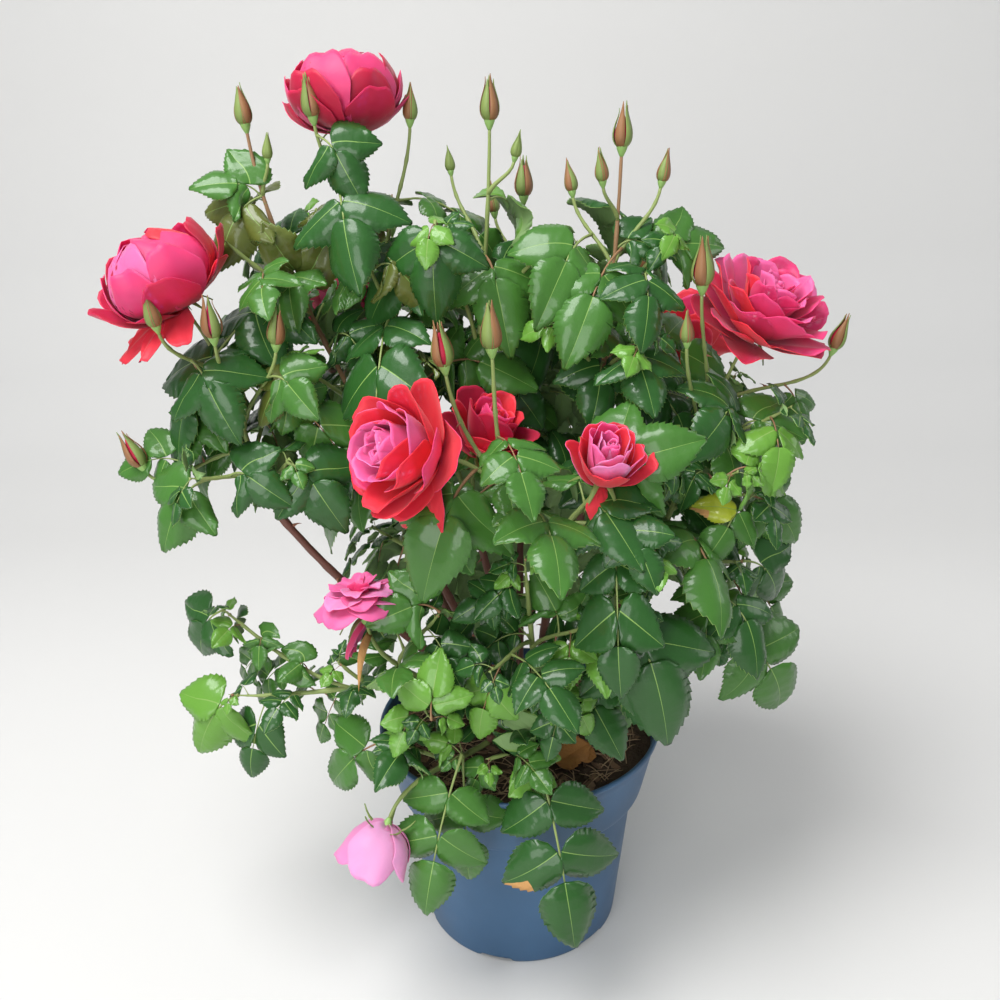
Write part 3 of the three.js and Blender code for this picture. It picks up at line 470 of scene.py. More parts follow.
def mass_start(shoots, cane_name, cane):
    """Masses that share a fork start a little to either side of the cane's cut end."""
    tangent = cane.tangent(1)
    tip = cane.point(1)
    sharers = sum(1 for mass in MASSES if mass[1] == cane_name)
    if sharers == 1:
        return tip - tangent, tangent
    to_end = unit(shoot_end(shoots[0]) - tip)
    aside = square_to(to_end, tangent)
    heading = unit(tangent * 0.5 + to_end * 0.8)
    return tip + aside * (CANE_TIP_RADIUS + 0.4) - tangent * 3, heading


def place_shoots(shoots, cane_name, cane):
    """The shoots of a mass with their curves: the leader, and the others out of it."""
    start, heading = mass_start(shoots, cane_name, cane)
    leader = shoot_curve(start, heading, shoots[0])
    placed = []
    for order, part in enumerate(shoots):
        curve = leader
        if order > 0:
            curve = shoot_curve(leader.point(part["from"]), leader.tangent(part["from"]), part)
        placed.append({**part, "curve": curve, "length": curve.length(), "order": order})
    return placed


class Room:
    """Room taken: places with a clearance, kept in cells so that neighbours are found quickly."""

    def __init__(self):
        self.cells = {}
        self.balls = []

    def take(self, place, room, owner):
        key = tuple(math.floor(value / CELL) for value in place)
        self.cells.setdefault(key, []).append((*map(float, place), room, owner))

    def take_along(self, curve, room):
        steps = math.ceil(curve.length() / 5)
        for place in curve.points(np.arange(steps + 1) / steps):
            self.take(place, room, None)

    def is_free(self, place, room, owner):
        px, py, pz = map(float, place)
        cx, cy, cz = (math.floor(value / CELL) for value in (px, py, pz))
        for x in (cx - 1, cx, cx + 1):
            for y in (cy - 1, cy, cy + 1):
                for z in (cz - 1, cz, cz + 1):
                    for ox, oy, oz, other_room, other in self.cells.get((x, y, z), ()):
                        if other is owner and owner is not None:
                            continue
                        near = room + other_room
                        if (px - ox) ** 2 + (py - oy) ** 2 + (pz - oz) ** 2 < near * near:
                            return False
        return True

    def clear_of_blooms(self, place):
        return all(np.linalg.norm(place - centre) > radius for centre, radius in self.balls)


def clear_of_pot(place):
    """Whether a place is clear of the ground, the compost and the rim."""
    out = math.hypot(place[0], place[1])
    if place[2] < 8:
        return False
    if out < POT_RIM_RADIUS - 10:
        return place[2] > SOIL_CROWN + 6
    return out > POT_RIM_RADIUS + 4 or place[2] > POT_HEIGHT + 4


def lay_leaflets(count, span, full):
    """The leaflets: one at the rib's end, and the pairs."""
    leaflets = [{"x": span, "y": 0.0, "angle": 0.0, "length": full}]
    for share, scale in PAIRS[count]:
        for hand in (-1, 1):
            leaflets.append({
                "x": span * share,
                "y": hand * RIB_HALF_WIDTH,
                "angle": hand * PAIR_ANGLE,
                "length": full * scale,
            })
    return leaflets


def leaflet_spots(leaflet, along, aside):
    """Flat places on a leaflet, from millimetres along and beside its midrib."""
    cosine, sine = math.cos(leaflet["angle"]), math.sin(leaflet["angle"])
    x = leaflet["x"] + along * cosine - aside * sine
    y = leaflet["y"] + along * sine + aside * cosine
    return x, y


def leaf_places(leaf, x, y, lift):
    """Flat places of a leaf, bent along its rib and sagging to the sides."""
    x, y, lift = (np.asarray(value, float) for value in (x, y, lift))
    share = np.minimum(x / leaf["span"], 1)
    tangent = leaf["curve"].tangents(share)
    face = square_to(leaf["facing"] + tangent * 0, tangent)
    side = np.cross(face, tangent)
    beyond = np.maximum(0, x - leaf["span"])
    sag = LEAF_SAG * (y * y + beyond * beyond)
    return (
        leaf["curve"].points(share)
        + tangent * beyond[..., None]
        + side * y[..., None]
        + face * (lift - sag)[..., None]
    )


def facing_at(foot, leave, lean):
    """A leaf faces up and outwards, away from the plant's middle."""
    outward = unit(np.array([leave[0], leave[1], 0.0]))
    away = unit(np.array([foot[0] * FACE_SPREAD, foot[1] - FACE_MIDDLE, 0.0]))
    return unit(UP * 0.75 + outward * FACE_OUTWARD + away * 0.75 + lean)


def grow_leaf(foot, leave, count, size, droop, lean):
    """A leaf that leaves its shoot at foot and droops towards its end."""
    span = LEAF_SPANS[count] * size
    return {
        "curve": Bezier(foot, foot + leave * (span / 2), foot + leave * span + DOWN * (span * droop)),
        "facing": facing_at(foot, leave, lean),
        "leaflets": lay_leaflets(count, span, LEAFLET_LENGTH * size),
        "span": span,
        "size": size,
    }


def marked_leaf(part, marked):
    """A leaf whose end leaflet's tip is given."""
    foot = part["curve"].point(marked["at"])
    tip = np.array(marked["tip"], float)
    reach = np.linalg.norm(tip - foot)
    length = min(LEAFLET_LENGTH * marked["size"], reach * MOST_BLADE)
    hang = unit(tip - foot + DOWN * (reach * HANG))
    base = tip - hang * length
    span = np.linalg.norm(base - foot)
    return {
        "curve": Bezier(foot, base - hang * (span / 2), base),
        "facing": facing_at(foot, tip - foot, MARK_LEAN),
        "leaflets": lay_leaflets(marked["leaflets"], span, length),
        "span": span,
        "size": marked["size"],
    }


def leaf_room(leaf, blade_room):
    """The places that a leaf fills, each with the room that it keeps."""
    shares = np.array([0.35, 0.5, 0.65, 0.8, 0.95])
    stalk = leaf_places(leaf, leaf["span"] * shares, shares * 0, shares * 0)
    rooms = [(place, STALK_ROOM) for place in stalk]
    for leaflet in leaf["leaflets"]:
        half = leaflet["length"] * LEAFLET_WIDTH / 2
        along = np.array([u * leaflet["length"] for u, _ in BLADE_SAMPLES])
        aside = np.array([v * half for _, v in BLADE_SAMPLES])
        x, y = leaflet_spots(leaflet, along, aside)
        rooms += [(place, blade_room) for place in leaf_places(leaf, x, y, x * 0)]
    return rooms


def shoot_seed(seed, part):
    return seed * 1009 + part["order"] * 101


def try_leaf(room, part, share, number, seed, blade_room):
    """One leaf at a share of a shoot: each try turns it further round and makes it smaller."""
    random = seeded_random(shoot_seed(seed, part) + number * 7)
    draws = [random() for _ in range(8)]
    curve = part["curve"]
    tangent = curve.tangent(share)
    foot = curve.point(share)
    side, across = square_pair(curve, tangent)
    near_bloom = share > NEAR_BLOOM or (part["length"] < SHORT_SHOOT and number > 0)
    count = 3 if near_bloom or draws[0] < THREE_LEAFLET_SHARE else 5
    lean = np.array([draws[1] - 0.5, draws[2] - 0.5, 0]) * 0.7
    start = seed * 47 + part["order"] * 61 + number * GOLDEN_ANGLE + (draws[3] - 0.5) * 40
    opening = math.radians(LEAST_OPENING + draws[4] * OPENING_SPREAD)
    for attempt in range(TRIES):
        swing = (1 if attempt % 2 == 0 else -1) * math.ceil(attempt / 2) * SWING
        azimuth = math.radians(start + swing)
        leave = unit(
            tangent * math.cos(opening)
            + side * (math.sin(opening) * math.cos(azimuth))
            + across * (math.sin(opening) * math.sin(azimuth))
            + UP * 0.12
        )
        size = (0.72 + draws[5] ** 2 * 0.5) * (1.1 - share * 0.2) * part.get("size", 1)
        size = size * (1 - attempt * SHRINK)
        droop = part.get("droop", 0.3) + draws[6] * 0.34 + (attempt % 3) * 0.08
        leaf = grow_leaf(foot, leave, count, size, droop, lean)
        needs = leaf_room(leaf, blade_room)
        free = all(
            clear_of_pot(place) and room.clear_of_blooms(place) and room.is_free(place, need, leaf)
            for place, need in needs
        )
        if free:
            for place, need in needs:
                room.take(place, need, leaf)
            leaf.update(share=share, tone=draws[7], seed=shoot_seed(seed, part) + number)
            return leaf
    return None


def mark_leaves(room, shoots, seed):
    """The leaves that stand out, which take their room before all others."""
    leaves = []
    for part in shoots:
        for number, marked in enumerate(part.get("marks", [])):
            leaf = marked_leaf(part, marked)
            leaf.update(tint=marked["tint"], withered=marked["withered"])
            for place, need in leaf_room(leaf, BLADE_ROOM):
                room.take(place, need, leaf)
            own_seed = shoot_seed(seed, part) + 50 + number
            leaf.update(share=marked["at"] * 0.7, tone=seeded_random(own_seed)(), seed=own_seed)
            leaves.append(leaf)
    return leaves


def grow_leaves(room, shoots, seed):
    """The leaves that the source lays too, evenly spaced along each shoot."""
    leaves = []
    for part in shoots:
        fitting = max(1, math.floor(part["length"] * 0.82 / LEAF_SPACING + 0.5))
        count = part.get("leaves", fitting)
        for number in range(count):
            share = 0.16 + 0.76 * (number + 0.5) / count
            leaf = try_leaf(room, part, share, number, seed, BLADE_ROOM)
            if leaf:
                leaves.append(leaf)
    return leaves


def fill_leaves(room, shoots, seed):
    """The in-between leaves of a mass, by the same rule at a closer spacing."""
    leaves = []
    for part in shoots:
        count = max(1, round(part["length"] * 0.8 / FILL_SPACING))
        last = 0.94
        if "leaves" in part:
            count = min(count, part["leaves"] * 2)
        if part.get("bloom") or part.get("bud"):
            last = 0.6
        for number in range(count):
            share = 0.08 + (last - 0.08) * (number + 0.5) / count
            leaf = try_leaf(room, part, share, number, seed + FILL_SEED, FILL_BLADE_ROOM)
            if leaf:
                leaf["fill"] = True
                leaves.append(leaf)
    return leaves


def tip_leaves(room, shoots, seed):
    """The young leaves that end a shoot which bears no flower."""
    leaves = []
    for part in shoots:
        if part.get("bloom") or part.get("bud"):
            continue
        for number, (share, size) in enumerate(TIP_LEAVES):
            young = {**part, "size": size * part.get("size", 1)}
            leaf = try_leaf(room, young, share, number, seed + TIP_SEED, FILL_BLADE_ROOM)
            if leaf:
                leaf["fill"] = True
                leaves.append(leaf)
    return leaves


def plan_plant():
    """The whole plant: canes by name, and masses with their placed shoots and leaves."""
    room = Room()
    canes = {}
    for name, tip, heading, rise, bow in CANES:
        canes[name] = cane_curve(tip, heading, rise, bow)
        room.take_along(canes[name], CANE_TIP_RADIUS + 0.8)
    masses = []
    for name, cane_name, seed, shoots in MASSES:
        placed = place_shoots(shoots, cane_name, canes[cane_name])
        masses.append({"name": name, "seed": seed, "shoots": placed})
    for mass in masses:
        for part in mass["shoots"]:
            room.take_along(part["curve"], STEM_RADIUS * 0.5)
            tip = np.array(part["tip"], float)
            if part.get("bloom"):
                ahead = facing_of(part) * (part["bloom"] * 0.4)
                room.balls.append((tip, part["bloom"] * 0.52))
                room.balls.append((tip + ahead, part["bloom"] * 0.5))
            elif part.get("bud"):
                room.balls.append((tip, part["bud"] * 0.5 + 3))
    for name, order, marked in MORE_MARKS:
        part = masses[MASS_NODES.index(name)]["shoots"][order]
        part["marks"] = [*part.get("marks", []), marked]
    for mass in masses:
        mass["leaves"] = mark_leaves(room, mass["shoots"], mass["seed"])
    for mass in masses:
        mass["leaves"] += grow_leaves(room, mass["shoots"], mass["seed"])
    for mass in masses:
        mass["leaves"] += tip_leaves(room, mass["shoots"], mass["seed"])
    for mass in masses:
        mass["leaves"] += fill_leaves(room, mass["shoots"], mass["seed"])
    return canes, masses


# Mesh making

# A piece with more triangles than this is full, and the next one starts
FULL_PIECE = 156000


class Surface:
    """Faces gathered from many small shapes, in millimetres, and made into one object."""

    def __init__(self):
        self.vertices = []
        self.faces = []
        self.slots = []
        self.smooth = []
        self.count = 0
        self.triangles = 0

    def add(self, vertices, faces, slot=0, smooth=True):
        """faces holds four corners each; a fourth of -1 means a triangle."""
        faces = np.asarray(faces, dtype=np.int64)
        self.vertices.append(np.asarray(vertices, float))
        self.faces.append(np.where(faces < 0, -1, faces + self.count))
        self.slots.append(np.broadcast_to(np.asarray(slot), len(faces)))
        self.smooth.append(np.broadcast_to(np.asarray(smooth), len(faces)))
        self.count += len(vertices)
        self.triangles += len(faces) + int((faces[:, 3] >= 0).sum())

    def make(self, name, materials, nodes, slot):
        """The object, riding on the part's one body in place of its CAD nodes."""
        vertices = np.concatenate(self.vertices) * MM
        faces = np.concatenate(self.faces)
        sizes = (faces >= 0).sum(axis=1)
        corners = faces.ravel()
        corners = corners[corners >= 0]
        mesh = bpy.data.meshes.new(name)
        mesh.vertices.add(len(vertices))
        mesh.vertices.foreach_set("co", vertices.ravel())
        mesh.loops.add(len(corners))
        mesh.loops.foreach_set("vertex_index", corners.astype(np.int32))
        mesh.polygons.add(len(faces))
        starts = np.concatenate([[0], np.cumsum(sizes)[:-1]])
        mesh.polygons.foreach_set("loop_start", starts.astype(np.int32))
        mesh.polygons.foreach_set("material_index", np.concatenate(self.slots).astype(np.int32))
        mesh.polygons.foreach_set("use_smooth", np.concatenate(self.smooth).astype(bool))
        mesh.update(calc_edges=True)
        mesh.validate()
        for material in materials:
            mesh.materials.append(material)
        piece = bpy.data.objects.new(name, mesh)
        bpy.context.scene.collection.objects.link(piece)
        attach(piece, "root")
        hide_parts(*nodes)


def with_room(surfaces):
    """The last of a list of surfaces, or a new one once the last is nearly full."""
    if not surfaces or surfaces[-1].triangles > FULL_PIECE:
        surfaces.append(Surface())
    return surfaces[-1]


def make_all(surfaces, name, materials):
    """Every surface of a list as a piece of the foliage, numbered from one."""
    for number, surface in enumerate(surfaces, 1):
        surface.make(f"{name}_{number}", materials, MASS_NODES, "foliage")


def grid_faces(rows, columns, closed=False):
    """Quads of a grid of vertices, rows by columns, joined round where it is closed."""
    spans = columns if closed else columns - 1
    faces = []
    for row in range(rows - 1):
        for column in range(spans):
            after = (column + 1) % columns
            low, high = row * columns, (row + 1) * columns
            faces.append((low + column, low + after, high + after, high + column))
    return np.array(faces)


def frames_along(points, reference):
    """Side and across directions at each point, carried along without twisting."""
    tangents = unit(np.gradient(points, axis=0))
    side = square_to(reference, tangents[0])
    sides = []
    for tangent in tangents:
        side = square_to(side, tangent)
        sides.append(side)
    sides = np.array(sides)
    return tangents, sides, np.cross(tangents, sides)


def add_tube(surface, points, radii, sides, slot=0, relief=None):
    """A round limb through points, with capped ends. relief gives bumps in millimetres."""
    points = np.asarray(points, float)
    radii = np.broadcast_to(np.asarray(radii, float), len(points))
    tangents, side, across = frames_along(points, reference_for(points[0], points[-1]))
    angles = np.arange(sides) * (2 * math.pi / sides)
    bumps = np.zeros((len(points), sides)) if relief is None else relief(points, angles)
    reach = (radii[:, None] + bumps)[..., None]
    ring = (
        side[:, None] * np.cos(angles)[None, :, None]
        + across[:, None] * np.sin(angles)[None, :, None]
    )
    rings = points[:, None] + ring * reach
    vertices = np.concatenate([
        rings.reshape(-1, 3),
        [points[0] - tangents[0] * radii[0] * 0.3, points[-1] + tangents[-1] * radii[-1] * 0.3],
    ])
    faces = list(grid_faces(len(points), sides, closed=True))
    first, last = len(vertices) - 2, len(vertices) - 1
    end = (len(points) - 1) * sides
    for corner in range(sides):
        after = (corner + 1) % sides
        faces.append((first, after, corner, -1))
        faces.append((last, end + corner, end + after, -1))
    surface.add(vertices, faces, slot)


def add_turned(surface, outs, alongs, sides, slot=0, relief=None):
    """A turned body about the pot's upright axis, from axis to axis or round a closed section."""
    outs, alongs = np.asarray(outs, float), np.asarray(alongs, float)
    angles = np.arange(sides) * (2 * math.pi / sides)
    out = np.repeat(outs[:, None], sides, axis=1)
    along = np.repeat(alongs[:, None], sides, axis=1)
    if relief is not None:
        out, along = relief(out, along, angles)
    vertices = np.stack([out * np.cos(angles), out * np.sin(angles), along], axis=-1)
    surface.add(vertices.reshape(-1, 3), grid_faces(len(outs), sides, closed=True), slot)


# Leaves

BLADE, RIB, UNDERSIDE, WITHERED = range(4)
TOOTH_DEPTH = 0.05
RIB_WIDTH = 0.3
BLADE_THICKNESS = 0.42
VEIN_SLANT = 1.7
BLADE_ROUNDING = 0.52


def leaflet_pattern(tooth_count, top):
    """A leaflet's grid: u from foot to tip, v from edge to edge, and its closed set of faces."""
    step = 0.94 / tooth_count
    rows = [(0.02, 1.0)]
    for tooth in range(tooth_count):
        rows.append((0.035 + tooth * step + step * 0.12, 1 - TOOTH_DEPTH * 0.3))
        rows.append((0.035 + tooth * step + step * 0.84, 1 + TOOTH_DEPTH))
    u = np.array([row[0] for row in rows])
    teeth = np.array([row[1] for row in rows])
    top_columns = np.array(top)
    under_columns = np.array([-1, -0.01, 0.01, 1])
    top_count = len(u) * len(top_columns)
    under_count = len(u) * len(under_columns)
    foot, tip = top_count + under_count, top_count + under_count + 1
    faces, slots, smooth, corner = [], [], [], []

    def face(corners, slot, is_smooth=True, in_corner=False):
        faces.append(corners)
        slots.append(slot)
        smooth.append(is_smooth)
        corner.append(in_corner)

    def sheet(offset, columns, slot, turn):
        wide = len(columns)
        last = (len(u) - 1) * wide
        for column in range(wide - 1):
            middle = columns[column] * columns[column + 1] < 0 and abs(columns[column]) < 0.1
            kind = RIB if middle else slot
            for row in range(len(u) - 1):
                a = offset + row * wide + column
                quad = (a, a + wide, a + wide + 1, a + 1)
                face(quad[::turn], kind, True, u[row] > 0.6 and columns[column] > 0.3)
            a, b = offset + column, offset + column + 1
            face(((foot, a, b) if turn == 1 else (foot, b, a)) + (-1,), kind)
            a, b = a + last, b + last
            face(((tip, b, a) if turn == 1 else (tip, a, b)) + (-1,), kind)

    sheet(0, top_columns, BLADE, 1)
    sheet(top_count, under_columns, UNDERSIDE, -1)
    wide, narrow = len(top_columns), len(under_columns)
    for row in range(len(u) - 1):
        a, b = row * wide, (row + 1) * wide
        c, d = top_count + row * narrow, top_count + (row + 1) * narrow
        face((a, c, d, b), RIB, False)
        face((a + wide - 1, b + wide - 1, d + narrow - 1, c + narrow - 1), RIB, False)
    last = len(u) - 1
    ends = [(foot, 0, top_count, 1), (tip, last * wide, top_count + last * narrow, -1)]
    for end, top, under, turn in ends:
        left = (end, under, top) if turn == 1 else (end, top, under)
        top, under = top + wide - 1, under + narrow - 1
        right = (end, top, under) if turn == 1 else (end, under, top)
        face(left + (-1,), BLADE, False)
        face(right + (-1,), BLADE, False)
    return {
        "u": u,
        "teeth": teeth,
        "vein_spacing": 2 * step,
        "top": top_columns,
        "under": under_columns,
        "faces": np.array(faces),
        "slots": np.array(slots),
        "withered": np.where(corner, WITHERED, slots),
        "smooth": np.array(smooth),
    }


FINE_LEAFLET = leaflet_pattern(11, [-1, -0.68, -0.34, -0.01, 0.01, 0.34, 0.68, 1])
PLAIN_LEAFLET = leaflet_pattern(8, [-1, -0.5, -0.01, 0.01, 0.5, 1])


def blade_half_width(u):
    """The half width at a share of the blade's length, one at its widest place."""
    widest = BLADE_ROUNDING / (1 + BLADE_ROUNDING)
    return u ** BLADE_ROUNDING * (1 - u) / (widest ** BLADE_ROUNDING * (1 - widest))


def leaflet_sheet(pattern, length, columns, habit):
    """Flat places and heights of one side of a leaflet's blade."""
    u = np.repeat(pattern["u"][:, None], len(columns), axis=1)
    v = np.repeat(columns[None, :], len(pattern["u"]), axis=0)
    half = length * LEAFLET_WIDTH / 2 * blade_half_width(u)
    edge = np.abs(v) > 0.99
    rib = np.abs(v) < 0.1
    teeth = pattern["teeth"][:, None]
    aside = v * half * np.where(edge, teeth, 1)
    aside = np.where(rib, np.sign(v) * np.minimum(RIB_WIDTH * (1.15 - u), half * 0.4), aside)
    along = length * (u + np.where(edge, (teeth - 1) * 0.5, 0))
    spread = np.abs(aside) / (length * LEAFLET_WIDTH / 2)
    out = np.abs(v)
    veins = np.abs(np.sin(math.pi * (u / pattern["vein_spacing"] - 0.3 - VEIN_SLANT * spread)))
    bulge = 1.7 * out * (1.02 - out)
    lift = (
        np.abs(aside) * (habit["fold"] - habit["belly"] * spread)
        - habit["curl"] * length * u * u
        + habit["quilt"] * length / LEAFLET_LENGTH * veins * bulge
        + habit["wave"] * np.sin(u * 11 + habit["phase"] + np.sign(v) * 1.3) * out ** 2
        + habit["roll"] * aside
        + habit["pitch"] * along
    )
    return along, aside, lift


def add_leaflet(surface, leaf, leaflet, habit, withered=False):
    """One leaflet: its top, its underside and the rim between them, bent with its leaf."""
    pattern = PLAIN_LEAFLET if leaf.get("fill") else FINE_LEAFLET
    sheets = []
    for columns, depth in ((pattern["top"], 0), (pattern["under"], BLADE_THICKNESS)):
        along, aside, lift = leaflet_sheet(pattern, leaflet["length"], columns, habit)
        sheets.append((along.ravel(), aside.ravel(), (lift - depth).ravel()))
    length = leaflet["length"]
    ends = (
        np.array([0.0, length]),
        np.zeros(2),
        np.array([0.0, habit["pitch"] * length - habit["curl"] * length]) - BLADE_THICKNESS / 2,
    )
    along, aside, lift = (np.concatenate(parts) for parts in zip(*sheets, ends))
    x, y = leaflet_spots(leaflet, along, aside)
    slots = pattern["withered" if withered else "slots"]
    surface.add(leaf_places(leaf, x, y, lift), pattern["faces"], slots, pattern["smooth"])


def leaflet_habit(random):
    """How a leaflet folds along its rib, curls, waves and tilts."""
    return {
        "fold": 0.12 + random() * 0.4,
        "belly": 0.25 + random() * 0.5,
        "curl": 0.02 + random() * 0.24,
        "quilt": 1.7 + random() * 1.3,
        "wave": 0.3 + random() * 0.9,
        "phase": random() * 6,
        "roll": (random() - 0.5) * 0.6,
        "pitch": (random() - 0.5) * 0.4,
    }


# Finishes


class Finish:
    """A material under construction."""

    def __init__(self, name, colour, roughness, specular=0.5):
        self.material = bpy.data.materials.new(name)
        self.material.use_nodes = True
        self.tree = self.material.node_tree
        self.shader = self.tree.nodes["Principled BSDF"]
        self.shader.inputs["Base Color"].default_value = (*colour, 1)
        self.shader.inputs["Roughness"].default_value = roughness
        self.shader.inputs["Specular IOR Level"].default_value = specular
        self.material.diffuse_color = (*colour, 1)

    def node(self, kind, **settings):
        made = self.tree.nodes.new(kind)
        for name, value in settings.items():
            if name in made.inputs:
                made.inputs[name].default_value = value
            else:
                setattr(made, name, value)
        return made

    def link(self, start, end):
        self.tree.links.new(start, end)

    def places(self, stretch=(1, 1, 1)):
        """The object's own coordinates, which the part's frame fixes, in metres."""
        where = self.node("ShaderNodeTexCoord").outputs["Object"]
        if stretch == (1, 1, 1):
            return where
        mapping = self.node("ShaderNodeMapping", Scale=stretch)
        self.link(where, mapping.inputs["Vector"])
        return mapping.outputs["Vector"]

    def grain(self, scale, detail=4.0, stretch=(1, 1, 1)):
        texture = self.node("ShaderNodeTexNoise", Scale=scale, Detail=detail)
        self.link(self.places(stretch), texture.inputs["Vector"])
        return texture.outputs["Fac"]

    def vary_roughness(self, pattern, low, high):
        spread = self.node("ShaderNodeMapRange")
        spread.inputs["To Min"].default_value = low
        spread.inputs["To Max"].default_value = high
        self.link(pattern, spread.inputs["Value"])
        self.link(spread.outputs["Result"], self.shader.inputs["Roughness"])

    def bump(self, *layers):
        """Relief from (pattern, depth in metres, strength) layers."""
        normal = None
        for pattern, depth, strength in layers:
            relief = self.node("ShaderNodeBump", Distance=depth, Strength=strength)
            self.link(pattern, relief.inputs["Height"])
            if normal is not None:
                self.link(normal, relief.inputs["Normal"])
            normal = relief.outputs["Normal"]
        self.link(normal, self.shader.inputs["Normal"])

    def mottle(self, pattern, colours):
        """Base colour from a pattern, through stops given as (share, colour)."""
        ramp = self.node("ShaderNodeValToRGB")
        stops = ramp.color_ramp.elements
        while len(stops) < len(colours):
            stops.new(0.5)
        for stop, (share, colour) in zip(stops, colours):
            stop.position = share
            stop.color = (*colour, 1)
        self.link(pattern, ramp.inputs["Fac"])
        self.link(ramp.outputs["Color"], self.shader.inputs["Base Color"])


def leaf_finish(name, colour, roughness):
    """A waxy leaf top: a thin gloss over a finely pitted blade."""
    finish = Finish(name, colour, roughness, 0.24)
    finish.shader.inputs["Coat Weight"].default_value = 0.42
    finish.shader.inputs["Coat Roughness"].default_value = 0.13
    finish.vary_roughness(finish.grain(60, 3), roughness - 0.04, roughness + 0.12)
    finish.bump((finish.grain(700, 3), 0.0003, 0.35), (finish.grain(220, 2), 0.0007, 0.35))
    return finish.material


def dry_finish(name, colour):
    """Dead leaf: dull and crinkled."""
    finish = Finish(name, colour, 0.8, 0.2)
    finish.bump((finish.grain(350, 5), 0.001, 0.7), (finish.grain(120, 3), 0.002, 0.6))
    return finish.material


def soft_finish(name, colour, roughness):
    """Soft green or corky skin with a fine grain."""
    finish = Finish(name, colour, roughness, 0.35)
    finish.bump((finish.grain(400, 4), 0.0003, 0.4))
    return finish.material


def petal_finish(name, colour):
    """A velvety petal that lets a little light through."""
    finish = Finish(name, colour, 0.5, 0.3)
    finish.shader.inputs["Sheen Weight"].default_value = 0.12
    finish.shader.inputs["Sheen Roughness"].default_value = 0.4
    finish.shader.inputs["Subsurface Weight"].default_value = 0.3
    finish.shader.inputs["Subsurface Radius"].default_value = (0.006, 0.0016, 0.0024)
    finish.shader.inputs["Subsurface Scale"].default_value = 1
    finish.bump((finish.grain(300, 4, (1, 1, 0.35)), 0.0003, 0.35), (finish.grain(80, 2), 0.001, 0.3))
    return finish.material


def bark_finish(name, colour, roughness):
    """Smooth young bark, streaked along the cane."""
    finish = Finish(name, colour, roughness, 0.4)
    finish.vary_roughness(finish.grain(90, 4), roughness - 0.12, roughness + 0.15)
    finish.bump(
        (finish.grain(500, 5, (1, 1, 0.18)), 0.0004, 0.6),
        (finish.grain(120, 3, (1, 1, 0.4)), 0.0012, 0.5),
    )
    return finish.material


# Blooms


def whorl(petals, length, width, foot, edge, curl, faces, backs, lift=0.0):
    """A ring of petals: how many, length and width as shares of the bloom's width, the angles in
    degrees from the bloom's axis at foot and edge, how far the edge rolls back, the colours that
    faces and backs draw from, and how far up the axis it starts."""
    shape = {"petals": petals, "length": length, "width": width, "foot": foot, "edge": edge}
    return {**shape, "curl": curl, "faces": faces.split(), "backs": backs.split(), "lift": lift}


